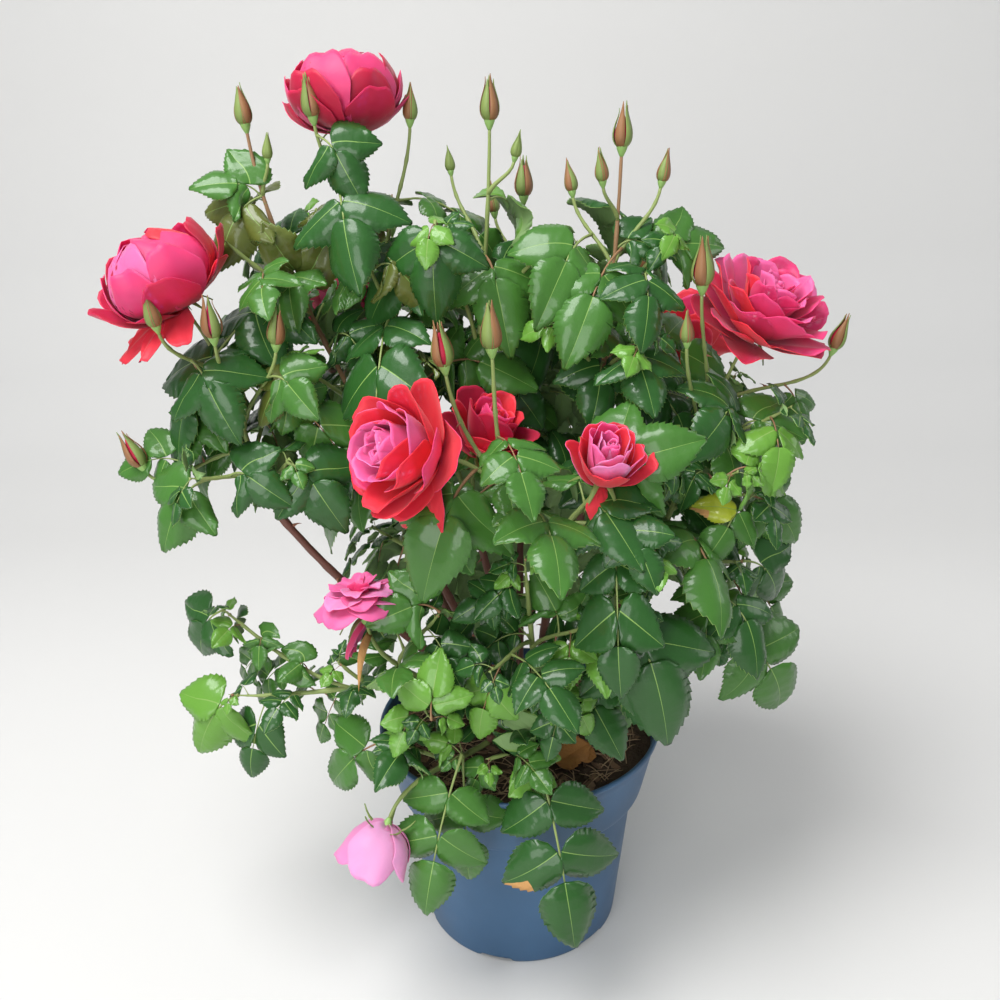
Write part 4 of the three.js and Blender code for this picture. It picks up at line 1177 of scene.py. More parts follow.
# The kinds of bloom, from the heart outwards. droop is the whorl that hangs below the bloom,
# height scales the bloom along its axis, and neck is how far up from its stem's end it sits.
BLOOM_STYLES = {
    "globe": {
        "whorls": [
            whorl(5, 0.66, 0.4, 66, -80, 0, "rose", "rose"),
            whorl(6, 1.16, 0.56, 106, -106, 0, "rose", "rose"),
            whorl(5, 1.2, 0.62, 110, -100, 4, "rose", "rose"),
            whorl(6, 1.13, 0.5, 112, -74, 8, "crimson", "rose rose pink"),
            whorl(6, 1.0, 0.42, 115, -46, 12, "crimson", "rose"),
            whorl(6, 0.84, 0.42, 118, -18, 12, "crimson", "rose crimson"),
            whorl(5, 0.68, 0.36, 120, 6, 12, "crimson", "crimson rose"),
        ],
        "droop": [],
        "height": 0.74, "neck": 0.08, "point": 0.0, "ruffle": 0.014, "disorder": 6,
    },
    "loose": {
        "whorls": [
            whorl(5, 0.66, 0.4, 66, -80, 0, "rose", "rose"),
            whorl(6, 1.16, 0.56, 106, -106, 0, "rose", "pink"),
            whorl(5, 1.2, 0.62, 110, -98, 6, "rose", "pink pink rose"),
            whorl(6, 1.13, 0.46, 112, -68, 14, "crimson", "pink pink rose"),
            whorl(6, 1.0, 0.42, 115, -38, 20, "crimson", "rose pink scarlet"),
            whorl(5, 0.84, 0.4, 118, -6, 24, "crimson scarlet", "rose crimson scarlet"),
            whorl(3, 0.6, 0.36, 120, 20, 20, "crimson", "crimson scarlet"),
        ],
        "droop": [whorl(5, 0.66, 0.2, 94, 116, 10, "scarlet", "scarlet scarlet crimson")],
        "height": 0.68, "neck": 0.17, "point": 0.15, "ruffle": 0.022, "disorder": 10,
    },
    "full": {
        "whorls": [
            whorl(5, 0.3, 0.22, 6, -30, 6, "blush", "blush"),
            whorl(6, 0.38, 0.26, 16, -30, 8, "blush pale", "blush pale"),
            whorl(7, 0.45, 0.3, 26, -28, 10, "blush pale pink", "blush pale"),
            whorl(7, 0.5, 0.34, 36, -24, 14, "blush pink", "blush pink"),
            whorl(7, 0.54, 0.38, 46, -16, 18, "pink blush", "pink blush"),
            whorl(7, 0.58, 0.42, 56, -6, 22, "pink", "pink scarlet"),
            whorl(6, 0.6, 0.48, 66, 6, 26, "scarlet rose", "scarlet pink"),
            whorl(5, 0.6, 0.52, 78, 20, 28, "scarlet", "scarlet rose"),
            whorl(4, 0.54, 0.5, 90, 46, 24, "scarlet crimson", "scarlet rose"),
        ],
        "droop": [whorl(3, 0.64, 0.24, 84, 108, 12, "scarlet", "scarlet rose")],
        "height": 1.0, "neck": 0.05, "point": 0.2, "ruffle": 0.022, "disorder": 12,
    },
    "open": {
        "whorls": [
            whorl(5, 0.34, 0.24, 8, -30, 6, "scarlet", "rose"),
            whorl(6, 0.44, 0.3, 22, -28, 10, "scarlet rose", "scarlet rose"),
            whorl(6, 0.52, 0.36, 36, -22, 14, "scarlet", "scarlet rose"),
            whorl(6, 0.58, 0.42, 50, -14, 18, "scarlet rose", "scarlet rose"),
            whorl(6, 0.6, 0.46, 62, -2, 22, "scarlet", "scarlet crimson"),
            whorl(5, 0.6, 0.5, 76, 14, 24, "scarlet crimson", "scarlet"),
            whorl(4, 0.56, 0.5, 90, 40, 20, "crimson scarlet", "scarlet"),
        ],
        "droop": [],
        "height": 1.0, "neck": 0.0, "point": 0.2, "ruffle": 0.026, "disorder": 16,
    },
    "ruffled": {
        "whorls": [
            whorl(6, 0.4, 0.2, 6, -20, 6, "pink", "pink"),
            whorl(7, 0.49, 0.26, 16, -12, 10, "pink", "pink rose"),
            whorl(8, 0.55, 0.32, 28, -2, 14, "pink", "rose pink"),
            whorl(8, 0.6, 0.36, 40, 10, 16, "pink pink rose", "rose scarlet"),
            whorl(8, 0.63, 0.4, 52, 24, 18, "pink rose", "scarlet rose"),
            whorl(8, 0.65, 0.42, 64, 38, 16, "rose pink", "scarlet rose"),
            whorl(7, 0.65, 0.44, 76, 52, 14, "rose scarlet", "scarlet"),
            whorl(5, 0.58, 0.44, 88, 66, 10, "scarlet crimson", "scarlet"),
        ],
        "droop": [],
        "height": 1.0, "neck": 0.05, "point": 0.45, "ruffle": 0.026, "disorder": 14,
    },
    "half_open": {
        "whorls": [
            whorl(5, 0.5, 0.2, 8, -24, 4, "pink", "pink"),
            whorl(5, 0.58, 0.26, 20, -26, 8, "pink rose", "pink"),
            whorl(6, 0.64, 0.32, 32, -26, 10, "pink rose", "pink"),
            whorl(6, 0.72, 0.38, 44, -22, 14, "pink", "pink blush"),
            whorl(6, 0.77, 0.44, 56, -16, 18, "scarlet rose", "pink blush"),
            whorl(5, 0.78, 0.48, 66, -6, 24, "scarlet", "blush pink scarlet"),
            whorl(4, 0.72, 0.48, 76, 8, 24, "scarlet", "scarlet pink"),
        ],
        "droop": [whorl(2, 0.5, 0.3, 96, 150, 12, "scarlet", "scarlet")],
        "height": 1.0, "neck": 0.0, "point": 0.15, "ruffle": 0.022, "disorder": 12,
    },
    "flat": {
        "whorls": [
            whorl(5, 0.56, 0.24, 8, 14, 10, "rose", "rose"),
            whorl(5, 0.34, 0.32, 60, 78, 20, "blush pink", "pink", 0.4),
            whorl(6, 0.48, 0.44, 72, 104, 20, "blush pink", "rose pink", 0.37),
            whorl(6, 0.58, 0.5, 78, 122, 18, "blush pink", "rose pink", 0.34),
        ],
        "droop": [whorl(3, 0.52, 0.34, 110, 172, 12, "rose", "rose pink")],
        "height": 1.0, "neck": 0.05, "point": 0.1, "ruffle": 0.034, "disorder": 20,
    },
    "nodding": {
        "whorls": [
            whorl(5, 0.46, 0.34, 40, -40, 6, "rose", "pink"),
            whorl(5, 0.56, 0.44, 66, -40, 10, "rose", "pink"),
            whorl(5, 0.68, 0.52, 88, -36, 26, "pink", "blush pink"),
            whorl(5, 0.74, 0.62, 102, -20, 44, "pink", "pale blush pale"),
        ],
        "droop": [],
        "height": 0.92, "neck": 0.05, "point": 0.1, "ruffle": 0.03, "disorder": 10,
    },
}
STRAY_PETAL = whorl(1, 0.74, 0.44, 86, 44, 10, "scarlet", "scarlet")
PETAL_SLOTS = {"pale": 0, "blush": 1, "pink": 2, "rose": 3, "scarlet": 4, "crimson": 5}
PETAL_ROWS = [0, 0.18, 0.36, 0.54, 0.7, 0.83, 0.94, 1]
PETAL_HALF = [0.12, 0.28, 0.46, 0.64, 0.8, 0.92, 0.98, 1]
PETAL_COLUMNS = [-column for column in reversed(PETAL_HALF)] + [0] + PETAL_HALF
PETAL_THICKNESS = 0.35

# A petal's shape, in shares of its half width or of the bloom's width: how far it cups, laps its
# neighbour, creases along its middle, is notched at its edge and drops away to its sides
SPOON = 0.16
OVERLAP = 0.022
CREASE = 0.012
NOTCH = 0.05
SIDE_DROP = 0.34
SEPALS = 5
HIP, SEPAL, FLUSHED_SEPAL = range(3)


def petal_pattern():
    """Faces of a petal's two sheets and the rim between them, and whether each is a face or a back."""
    rows, columns = len(PETAL_ROWS), len(PETAL_COLUMNS)
    back = grid_faces(rows, columns)
    face = back[:, ::-1] + rows * columns
    edge = (
        [(0, column) for column in range(columns)]
        + [(row, columns - 1) for row in range(1, rows)]
        + [(rows - 1, column) for column in range(columns - 2, -1, -1)]
        + [(row, 0) for row in range(rows - 2, 0, -1)]
    )
    corners = [row * columns + column for row, column in edge]
    rim = []
    for corner, after in zip(corners, corners[1:] + corners[:1]):
        rim.append((after, corner, corner + rows * columns, after + rows * columns))
    faces = np.concatenate([back, face, rim])
    kinds = np.array([1] * len(back) + [0] * len(face) + [1] * len(rim))
    return faces, kinds


PETAL_FACES, PETAL_KINDS = petal_pattern()


def add_petal(surface, base, azimuth, ring, width, style, random):
    """One petal: a spoon-shaped sheet about the bloom's axis, rolled back and ruffled at its edge."""
    foot, axis, side, across = base
    point = style["point"]
    length = width * ring["length"] * (1 + (random() - 0.5) * 0.012 * style["disorder"])
    half = width * ring["width"] * (0.88 + random() * 0.24) * 0.58
    tilt = (random() - 0.5) * style["disorder"]
    lopsided = (random() - 0.5) * style["disorder"]
    phase = random() * 6
    t = np.array(PETAL_ROWS)[:, None]
    s = np.array(PETAL_COLUMNS)[None, :]
    out_to_side = np.abs(s)
    notch = NOTCH * (1 - point) * np.exp(-((s / 0.22) ** 2))
    reach = t * (1 - (SIDE_DROP + 0.1 * point) * out_to_side ** (2.3 - 0.8 * point) - notch)
    bend = ring["foot"] + (ring["edge"] - ring["foot"]) * reach ** 0.9 + (tilt + lopsided * s) * reach
    bend = bend + ring["curl"] * np.clip((reach - 0.7) / 0.3, 0, 1) ** 1.6 * (0.7 + 0.6 * out_to_side)
    angle = np.radians(bend)
    step = np.diff(reach, axis=0, prepend=0)
    out = 0.02 * width + length * np.cumsum(np.sin(angle) * step, axis=0)
    along = style["height"] * length * np.cumsum(np.cos(angle) * step, axis=0) + ring["lift"] * width
    spread = half * (0.22 + 0.78 * np.minimum(reach / 0.6, 1) ** 0.8)
    turn = np.clip(s * spread / np.maximum(np.abs(out), 0.4 * half), -1.5, 1.5)
    inward = (
        SPOON * half * s * s * reach
        - s * OVERLAP * width * (1 - reach * 0.3)
        + CREASE * width * np.exp(-((s / 0.24) ** 2)) * np.sin(math.pi * reach)
        + style["ruffle"] * width * np.sin(s * 4.4 + phase) * reach ** 3
        + style["ruffle"] * width * 0.6 * np.sin(s * 8 + phase * 2) * reach ** 5
    )
    out = out - inward * np.cos(angle)
    along = along + inward * np.sin(angle)
    direction = azimuth + turn
    places = (
        foot
        + side * (out * np.cos(direction))[..., None]
        + across * (out * np.sin(direction))[..., None]
        + axis * along[..., None]
    )
    normal = np.cross(np.gradient(places, axis=0), np.gradient(places, axis=1))
    normal = normal / np.maximum(np.linalg.norm(normal, axis=-1, keepdims=True), 1e-9)
    inner = places + normal * PETAL_THICKNESS
    vertices = np.concatenate([places.reshape(-1, 3), inner.reshape(-1, 3)])
    face, back = (names[int(random() * len(names))] for names in (ring["faces"], ring["backs"]))
    surface.add(vertices, PETAL_FACES, np.array([PETAL_SLOTS[face], PETAL_SLOTS[back]])[PETAL_KINDS])


def add_bloom(petals, greens, part, seed):
    """A bloom: its rings of petals from the heart outwards, then its neck, hip and sepals."""
    random = seeded_random(seed)
    width = part["bloom"]
    style = BLOOM_STYLES[part["style"]]
    axis = facing_of(part)
    side, across = square_pair(part["curve"], axis)
    stem_end = part["curve"].point(1)
    neck = stem_end + axis * ((style["neck"] - 0.05) * width)
    base = (neck + axis * (0.05 * width), axis, side, across)
    start = random() * 6
    # Painted shade: the big petals on the side of the bloom away from the lamps take darker colours from
    # the part's own list in place of their whorl's colours.
    flush_to = np.array(part.get("flush_to", (0, 0, 0)), float)
    for ring in style["whorls"]:
        start += 0.9 + random()
        for number in range(ring["petals"]):
            azimuth = start + (number + (random() - 0.5) * 0.4) * 2 * math.pi / ring["petals"]
            shown = ring
            if ring["length"] > 0.5 and np.dot(round_to(side, across, azimuth), flush_to) > 0.3:
                shown = {**ring, "backs": part["flush"].split(), "faces": part["flush"].split()}
            add_petal(petals, base, azimuth, shown, width, style, random)
    lowest = angle_of(np.array(part.get("droop_to", DOWN), float), side, across)
    for ring in style["droop"]:
        for number in range(ring["petals"]):
            azimuth = lowest + (number - (ring["petals"] - 1) / 2) * 0.5 + (random() - 0.5) * 0.3
            add_petal(petals, base, azimuth, ring, width, style, random)
    if "stray_to" in part:
        azimuth = angle_of(np.array(part["stray_to"], float), side, across)
        add_petal(petals, base, azimuth, STRAY_PETAL, width, style, random)
    add_tube(greens, [stem_end, (stem_end + neck) / 2, neck + axis], [1.3, 1.3, 1.6], 9, HIP)
    add_hip(greens, neck, axis, 4.2, 9)
    for number in range(SEPALS):
        azimuth = number * 2 * math.pi / SEPALS + random() * 0.4
        outward = round_to(side, across, azimuth)
        root = neck + axis * 6
        path = Bezier(
            root,
            root + outward * 11 + axis * 3,
            root + outward * (17 + random() * 5) - axis * (6 + random() * 9),
        )
        add_strip(greens, path, 3.4, outward * 0.2 + axis, SEPAL)


def add_hip(surface, foot, axis, radius, length):
    """The swelling under a bloom or bud."""
    shares = np.array([0, 0.2, 0.45, 0.7, 0.9, 1.0])
    radii = radius * np.array([0.32, 0.52, 0.76, 0.94, 1.0, 0.86])
    add_tube(surface, foot + axis * (shares * length - 1)[:, None], radii, 10, HIP)


def add_strip(surface, path, half_width, facing, slot, steps=7, wrap=0.0):
    """A narrow two-sided green blade, pointed at its end. wrap draws its edges in round a bud."""
    shares = np.linspace(0, 1, steps)
    centre = path.points(shares)
    tangent = path.tangents(shares)
    face = square_to(facing + tangent * 0, tangent)
    side = np.cross(face, tangent)
    half = (half_width * (0.35 + 1.5 * shares) * (1 - shares) ** 1.25 + 0.14)[:, None]
    edge = face * (0.5 * (wrap == 0) - half * half * wrap)
    top = np.stack([centre - side * half + edge, centre, centre + side * half + edge], 1)
    under = top - (face * 0.4)[:, None]
    vertices = np.concatenate([top.reshape(-1, 3), under.reshape(-1, 3)])
    count = steps * 3
    sheet = grid_faces(steps, 3)
    faces = [tuple(face_corners[::-1]) for face_corners in sheet]
    faces += [tuple(face_corners + count) for face_corners in sheet]
    for row in range(steps - 1):
        a, b = row * 3, (row + 1) * 3
        faces.append((a, a + count, b + count, b))
        faces.append((a + 2, b + 2, b + 2 + count, a + 2 + count))
    for row in (0, steps - 1):
        a = row * 3
        corners = [(a, a + 1, a + 1 + count, a + count), (a + 1, a + 2, a + 2 + count, a + 1 + count)]
        faces += corners if row == 0 else [corner[::-1] for corner in corners]
    surface.add(vertices, faces, slot)


def add_bud(petals, greens, part, seed):
    """A pointed bud: its hip, the furled petals and five sepals closed over them."""
    random = seeded_random(seed)
    length = part["bud"]
    foot = part["curve"].point(1)
    axis = part["curve"].tangent(1)
    side, across = square_pair(part["curve"], axis)
    add_hip(greens, foot, axis, length * 0.15, length * 0.3)
    shares = np.array([0.2, 0.28, 0.37, 0.48, 0.61, 0.74, 0.87, 0.98])
    radii = length * np.array([0.1, 0.15, 0.195, 0.21, 0.185, 0.13, 0.07, 0.015])
    colour = PETAL_SLOTS["crimson" if random() < 0.5 else "rose"]
    parted = random() * 0.1 if length > 23 else 0.0

    def swirl(points, angles):
        turns = angles[None] * 3 + np.linspace(0, 5, len(points))[:, None]
        return np.sin(turns) * length * 0.008

    add_tube(petals, foot + axis * (shares * length)[:, None], radii, 12, colour, swirl)
    for number in range(SEPALS):
        azimuth = number * 2 * math.pi / SEPALS + random() * 0.3
        outward = round_to(side, across, azimuth)
        aside = np.cross(axis, outward)
        stray = outward * ((random() * 0.05 + parted) * length) + aside * ((random() - 0.5) * length * 0.08)
        path = Bezier(
            foot + axis * (0.17 * length) + outward * (length * 0.1),
            foot + axis * (0.3 * length) + outward * (length * 0.33),
            foot + axis * (0.66 * length) + outward * (length * (0.27 + parted)),
            foot + axis * (0.9 * length) + outward * (length * 0.02) + stray * 0.4,
            foot + axis * ((1.1 + random() * 0.2) * length) + stray,
        )
        slot = FLUSHED_SEPAL if length > 18 and (number + seed) % 2 else SEPAL
        add_strip(greens, path, length * (0.27 - parted * 0.5), outward, slot, 11, 2.0 / length)


# Pieces


def make_pot(settings):
    """The container: a tapered body, an upright collar and a beaded rim."""
    surface = Surface()
    base = POT_BASE_RADIUS
    outer = [
        (0, 3.2), (base - 9, 3.2), (base - 7.4, 2.6), (base - 6.6, 0.4), (base - 5.6, 0),
        (base - 1.8, 0), (base - 0.7, 0.3), (base, 1.4), (base + 0.25, 3.6), (base + 0.45, 5),
    ]
    for share in np.linspace(0.06, 0.97, 12):
        outer.append((
            base + (BODY_TOP_RADIUS - base) * share,
            (COLLAR_FOOT - 1) * share,
        ))
    outer += [
        (BODY_TOP_RADIUS - 0.1, COLLAR_FOOT - 2.2), (BODY_TOP_RADIUS + 0.4, COLLAR_FOOT - 1.4),
        (BODY_TOP_RADIUS + 2.2, COLLAR_FOOT - 0.9), (COLLAR_FOOT_RADIUS - 1.6, COLLAR_FOOT - 0.7),
        (COLLAR_FOOT_RADIUS - 0.5, COLLAR_FOOT - 0.3), (COLLAR_FOOT_RADIUS, COLLAR_FOOT + 0.8),
    ]
    lip_foot = POT_HEIGHT - RIM_BEAD - 1.5
    for share in np.linspace(0.1, 1, 6):
        outer.append((
            COLLAR_FOOT_RADIUS + (POT_RIM_RADIUS - 2 - COLLAR_FOOT_RADIUS) * share,
            COLLAR_FOOT + (lip_foot - COLLAR_FOOT) * share,
        ))
    rim = POT_RIM_RADIUS
    outer += [
        (rim - 1.3, lip_foot + 0.5), (rim - 0.3, lip_foot + 1.3), (rim, lip_foot + 2.4),
        (rim, POT_HEIGHT - 1.2), (rim - 0.4, POT_HEIGHT - 0.3), (rim - 1.2, POT_HEIGHT),
        (rim - 2.4, POT_HEIGHT), (rim - 3.2, POT_HEIGHT - 0.4), (rim - 3.6, POT_HEIGHT - 1.4),
        (rim - 4.2, lip_foot), (COLLAR_FOOT_RADIUS - 1.7, COLLAR_FOOT + 2),
        (BODY_TOP_RADIUS - POT_WALL, COLLAR_FOOT - 2), (base - 1.8, POT_FLOOR), (0, POT_FLOOR),
    ]
    outs, alongs = zip(*outer)
    first_notch = math.radians(254)

    def notched(out, along, angles):
        turn = (angles - first_notch) / (2 * math.pi / FOOT_NOTCHES)
        off = np.abs(turn - np.round(turn)) * (2 * math.pi / FOOT_NOTCHES) * base
        inside = np.clip((FOOT_NOTCH_WIDTH / 2 - off) / 1.6 + 0.5, 0, 1)[None]
        foot = (along < FOOT_NOTCH_HEIGHT) & (out > base - 9)
        return out, np.where(foot, along + (FOOT_NOTCH_HEIGHT - along) * inside, along)

    add_turned(surface, outs, alongs, 180, 0, notched)
    finish = Finish("moulded_plastic", settings.colour[:3], 0.42, 0.4)
    finish.mottle(finish.grain(14, 3), [
        (0.3, tuple(value * 0.86 for value in settings.colour[:3])),
        (0.7, tuple(min(1, value * 1.14) for value in settings.colour[:3])),
    ])
    finish.vary_roughness(finish.grain(35, 5), 0.36, 0.52)
    finish.bump((finish.grain(1500, 2), 0.0001, 0.25), (finish.grain(22, 2), 0.002, 0.12))
    surface.make("pot_shell", [finish.material], ["pot"], "pot")


def compost_height(x, y):
    """The compost's surface: a low crown with crumbs and hollows."""
    out = np.hypot(x, y)
    slope = np.clip((out - CROWN_SLOPE[0]) / (CROWN_SLOPE[1] - CROWN_SLOPE[0]), 0, 1)
    height = SOIL_CROWN + (SOIL_EDGE - SOIL_CROWN) * slope
    rough = np.array([
        noise.noise(Vector((a / 9, b / 9, 0))) * 1.5 + noise.noise(Vector((a / 3, b / 3, 4))) * 0.7
        for a, b in zip(x.ravel(), y.ravel())
    ]).reshape(x.shape)
    return height + rough - 1


def make_compost(settings):
    """The growing mix: a crumbly surface under bark chips, fibres and dry leaflets."""
    surface = Surface()
    rings, sides = 56, 150
    outs = np.linspace(0.5, COMPOST_EDGE, rings)
    angles = np.arange(sides) * (2 * math.pi / sides)
    x = outs[:, None] * np.cos(angles)
    y = outs[:, None] * np.sin(angles)
    top = np.stack([x, y, compost_height(x, y)], axis=-1).reshape(-1, 3)
    surface.add(top, grid_faces(rings, sides, closed=True))
    random = seeded_random(SCATTER_SEED)
    for _ in range(settings.chips):
        place, heading = scatter_place(random)
        half = np.array([2 + random() * 4.5, 1 + random() * 2, 0.6 + random() * 1.2])
        add_chip(surface, place, heading, half, random, 1 if random() < 0.6 else 0)
    for _ in range(settings.fibres):
        place, heading = scatter_place(random)
        along = np.array([math.cos(heading), math.sin(heading), 0])
        length = 8 + random() * 22
        lift = UP * (2 + random() * 5)
        path = Bezier(place, place + along * (length * 0.5) + lift, place + along * length)
        if np.hypot(*path.point(1)[:2]) < FIBRE_REACH:
            add_tube(surface, path.points(np.linspace(0, 1, 6)), 0.28 + random() * 0.25, 4, 2)
    mix = Finish("compost_mix", settings.colour[:3], 0.95, 0.2)
    mix.bump((mix.grain(260, 6), 0.003, 0.9))
    chip = Finish("bark_chips", settings.chip_colour[:3], 0.85, 0.25)
    chip.bump((chip.grain(420, 5, (1, 1, 0.3)), 0.0015, 0.7))
    fibre = Finish("dry_fibres", settings.fibre_colour[:3], 0.8, 0.3)
    fibre.bump((fibre.grain(900, 3), 0.0004, 0.5))
    make_fallen_leaflets(settings)
    materials = [mix.material, chip.material, fibre.material]
    surface.make("compost_surface", materials, ["soil"], "soil")


def make_fallen_leaflets(settings):
    """Dry leaflets that lie curled on the compost."""
    surface = Surface()
    random = seeded_random(FALLEN_SEED)
    for x, y, heading, length in FALLEN_LEAFLETS:
        foot = np.array([x, y, SOIL_CROWN + 2.5])
        ahead = np.array([math.cos(heading), math.sin(heading), 0.12])
        leaf = {"curve": Bezier(foot, foot + ahead * 4, foot + ahead * 8), "facing": UP, "span": 8}
        leaflet = {"x": 8, "y": 0, "angle": 0, "length": length}
        habit = leaflet_habit(random)
        habit.update(fold=0.5, curl=-0.1, wave=2.4)
        add_leaflet(surface, leaf, leaflet, habit)
    dry = dry_finish("fallen_leaflets", settings.fallen_colour[:3])
    surface.make("fallen_leaflets", [dry] * 3, ["soil"], "soil")


def scatter_place(random):
    """A place on the compost and a heading."""
    out = SCATTER_REACH[0] + (SCATTER_REACH[1] - SCATTER_REACH[0]) * math.sqrt(random())
    angle = random() * 2 * math.pi
    x, y = np.array([out * math.cos(angle)]), np.array([out * math.sin(angle)])
    return np.array([x[0], y[0], compost_height(x, y)[0]]), random() * 2 * math.pi


def add_chip(surface, place, heading, half, random, slot):
    """A broken flake of bark, lying flat or on edge."""
    along = unit(np.array([math.cos(heading), math.sin(heading), (random() - 0.5) * 0.7]))
    side = square_to(np.array([-math.sin(heading), math.cos(heading), (random() - 0.5) * 0.8]), along)
    face = np.cross(along, side)
    corners = []
    for a, b, c in ((-1, -1, -1), (1, -1, -1), (1, 1, -1), (-1, 1, -1),
                    (-1, -1, 1), (1, -1, 1), (1, 1, 1), (-1, 1, 1)):
        jitter = 0.7 + random() * 0.5
        corners.append(
            place + (along * (a * half[0]) + side * (b * half[1]) + face * (c * half[2])) * jitter
        )
    faces = [(0, 3, 2, 1), (4, 5, 6, 7), (0, 1, 5, 4), (1, 2, 6, 5), (2, 3, 7, 6), (3, 0, 4, 7)]
    surface.add(corners, faces, slot, smooth=False)


def make_knob(settings):
    """The graft knob: a corky swelling that the canes rise from."""
    surface = Surface()
    rows = np.linspace(0, len(KNOB_PROFILE) - 1, 46)
    corners = np.arange(len(KNOB_PROFILE))
    outs, heights = (np.interp(rows, corners, values) for values in zip(*KNOB_PROFILE))
    alongs = heights + SOIL_CROWN - KNOB_SKIRT_DEPTH

    def lumps(out, along, angles):
        bumps = np.zeros(out.shape)
        for row in range(out.shape[0]):
            for column, angle in enumerate(angles):
                place = Vector((math.cos(angle) * 2.1, math.sin(angle) * 2.1, along[row, column] / 9))
                bumps[row, column] = noise.noise(place) * 2.6 + noise.noise(place * 3.4) * 0.9
        fade = np.clip(out / KNOB_RADIUS, 0, 1)
        return out + bumps * fade, along

    add_turned(surface, outs, alongs, 72, 0, lumps)
    finish = Finish("cork_bark", settings.knob_colour[:3], 0.85, 0.3)
    finish.vary_roughness(finish.grain(70, 4), 0.7, 0.95)
    finish.bump((finish.grain(260, 6), 0.002, 0.8))
    surface.make("graft_union", [finish.material], ["graft_knob"], "knob")


def add_prickle(surface, place, outward, tangent, length, slot):
    """A hooked prickle on a long flat foot."""
    hook = Bezier(
        place - outward * 0.6,
        place + outward * (length * 0.6),
        place + outward * length - tangent * (length * 0.45),
    )
    shares = np.array([0, 0.25, 0.5, 0.75, 1])
    radii = length * np.array([0.3, 0.17, 0.1, 0.055, 0.01])
    add_tube(surface, hook.points(shares), radii, 6, slot)


def add_prickles(surface, curve, radius, spacing, seed, slot, first, last):
    """Prickles scattered round a limb, from one share of its length to another."""
    random = seeded_random(seed)
    count = int(curve.length() * (last - first) / spacing)
    for number in range(count):
        share = first + (last - first) * (number + random()) / max(count, 1)
        tangent = curve.tangent(share)
        side, across = square_pair(curve, tangent)
        outward = round_to(side, across, random() * 2 * math.pi)
        place = curve.point(share) + outward * radius
        add_prickle(surface, place, outward, tangent, 3.2 + random() * 2.4, slot)


def bark_relief(depth, seed):
    """Low swellings and fine ridges that run along a limb."""

    def relief(points, angles):
        bumps = np.zeros((len(points), len(angles)))
        for row, place in enumerate(points):
            for column, angle in enumerate(angles):
                broad = Vector((math.cos(angle), math.sin(angle), row * 0.22 + seed))
                fine = Vector((math.cos(angle) * 4, math.sin(angle) * 4, row * 0.12 + seed))
                bumps[row, column] = noise.noise(broad) * 0.8 + noise.noise(fine) * 0.5
        return bumps * depth

    return relief


def make_canes(canes, settings):
    """The old wood: each cane from the knob to its fork, with bark relief and prickles."""
    surface = Surface()
    for order, (name, curve) in enumerate(canes.items()):
        rings = max(12, round(curve.length() / 2.5))
        shares = np.linspace(0, 1, rings)
        radii = CANE_BASE_RADIUS + (CANE_TIP_RADIUS - CANE_BASE_RADIUS) * shares
        radii = radii + 1.6 * np.exp(-shares / 0.05)
        for knot in np.arange(0.2, 1, 0.19):
            radii = radii + 0.4 * np.exp(-((shares - knot) / 0.02) ** 2)
        add_tube(surface, curve.points(shares), radii, 14, 0, bark_relief(0.45, order * 7.3))
        add_prickles(surface, curve, CANE_TIP_RADIUS + 0.3, 17, CANE_SEED + order, 1, 0.2, 0.97)
    stub = Bezier(*PRUNED_STUB)
    add_tube(surface, stub.points(np.linspace(0, 1, 7)), 2.0, 10)
    materials = [
        bark_finish("cane_bark", settings.cane_colour[:3], 0.55),
        soft_finish("prickles", settings.prickle_colour[:3], 0.4),
    ]
    surface.make("canes", materials, CANE_NODES, "cane")


def make_shoots(masses, settings):
    """Leaders and side shoots, thicker at their knots, with young prickles."""
    stems = Surface()
    for mass in masses:
        for part in mass["shoots"]:
            leader = part["order"] == 0
            start = STEM_RADIUS if leader else STEM_RADIUS * 0.68
            flowering = part.get("bloom") or part.get("bud")
            end = PEDICEL_TIP_RADIUS if flowering else STEM_TIP_RADIUS
            rings = max(8, round(part["length"] / 3.5))
            shares = np.linspace(0, 1, rings)
            radii = start + (end - start) * shares
            for knot in np.arange(0.16, 0.95, 0.16):
                radii = radii + 0.35 * np.exp(-((shares - knot) / 0.025) ** 2)
            if not flowering:
                radii = radii * (1 - 0.8 * np.clip((shares - 0.8) / 0.2, 0, 1))
            slot = 1 if leader and part["length"] > 120 and mass["seed"] % 3 == 0 else 0
            add_tube(stems, part["curve"].points(shares), radii, 9, slot, bark_relief(0.16, mass["seed"]))
            if part["length"] > 60:
                seed = mass["seed"] * 31 + part["order"]
                add_prickles(stems, part["curve"], 1.3, 34, seed, 2, 0.05, 0.7)
    materials = [
        soft_finish("green_stems", settings.stem_colour[:3], 0.45),
        soft_finish("red_stems", settings.red_stem_colour[:3], 0.5),
        soft_finish("young_prickles", settings.prickle_colour[:3], 0.4),
    ]
    stems.make("shoots", materials, MASS_NODES, "foliage")


def make_stalks(masses, settings):
    """The rib that joins a leaf's leaflets, and the stalk it hangs by."""
    surface = Surface()
    for mass in masses:
        for leaf in mass["leaves"]:
            shares = np.linspace(0, 1, 10)
            centre = leaf_places(leaf, leaf["span"] * shares, shares * 0, shares * 0 - 0.7)
            centre[0] = leaf["curve"].point(0)
            radii = (1.0 - 0.45 * shares) * leaf["size"]
            radii[0] = 1.5
            slot = 0 if leaf["tone"] < 0.72 else 1
            add_tube(surface, centre, radii, 6, slot)
    materials = [
        soft_finish("green_stalks", settings.stem_colour[:3], 0.45),
        soft_finish("red_stalks", settings.red_stem_colour[:3], 0.45),
    ]
    surface.make("leaf_stalks", materials, MASS_NODES, "foliage")


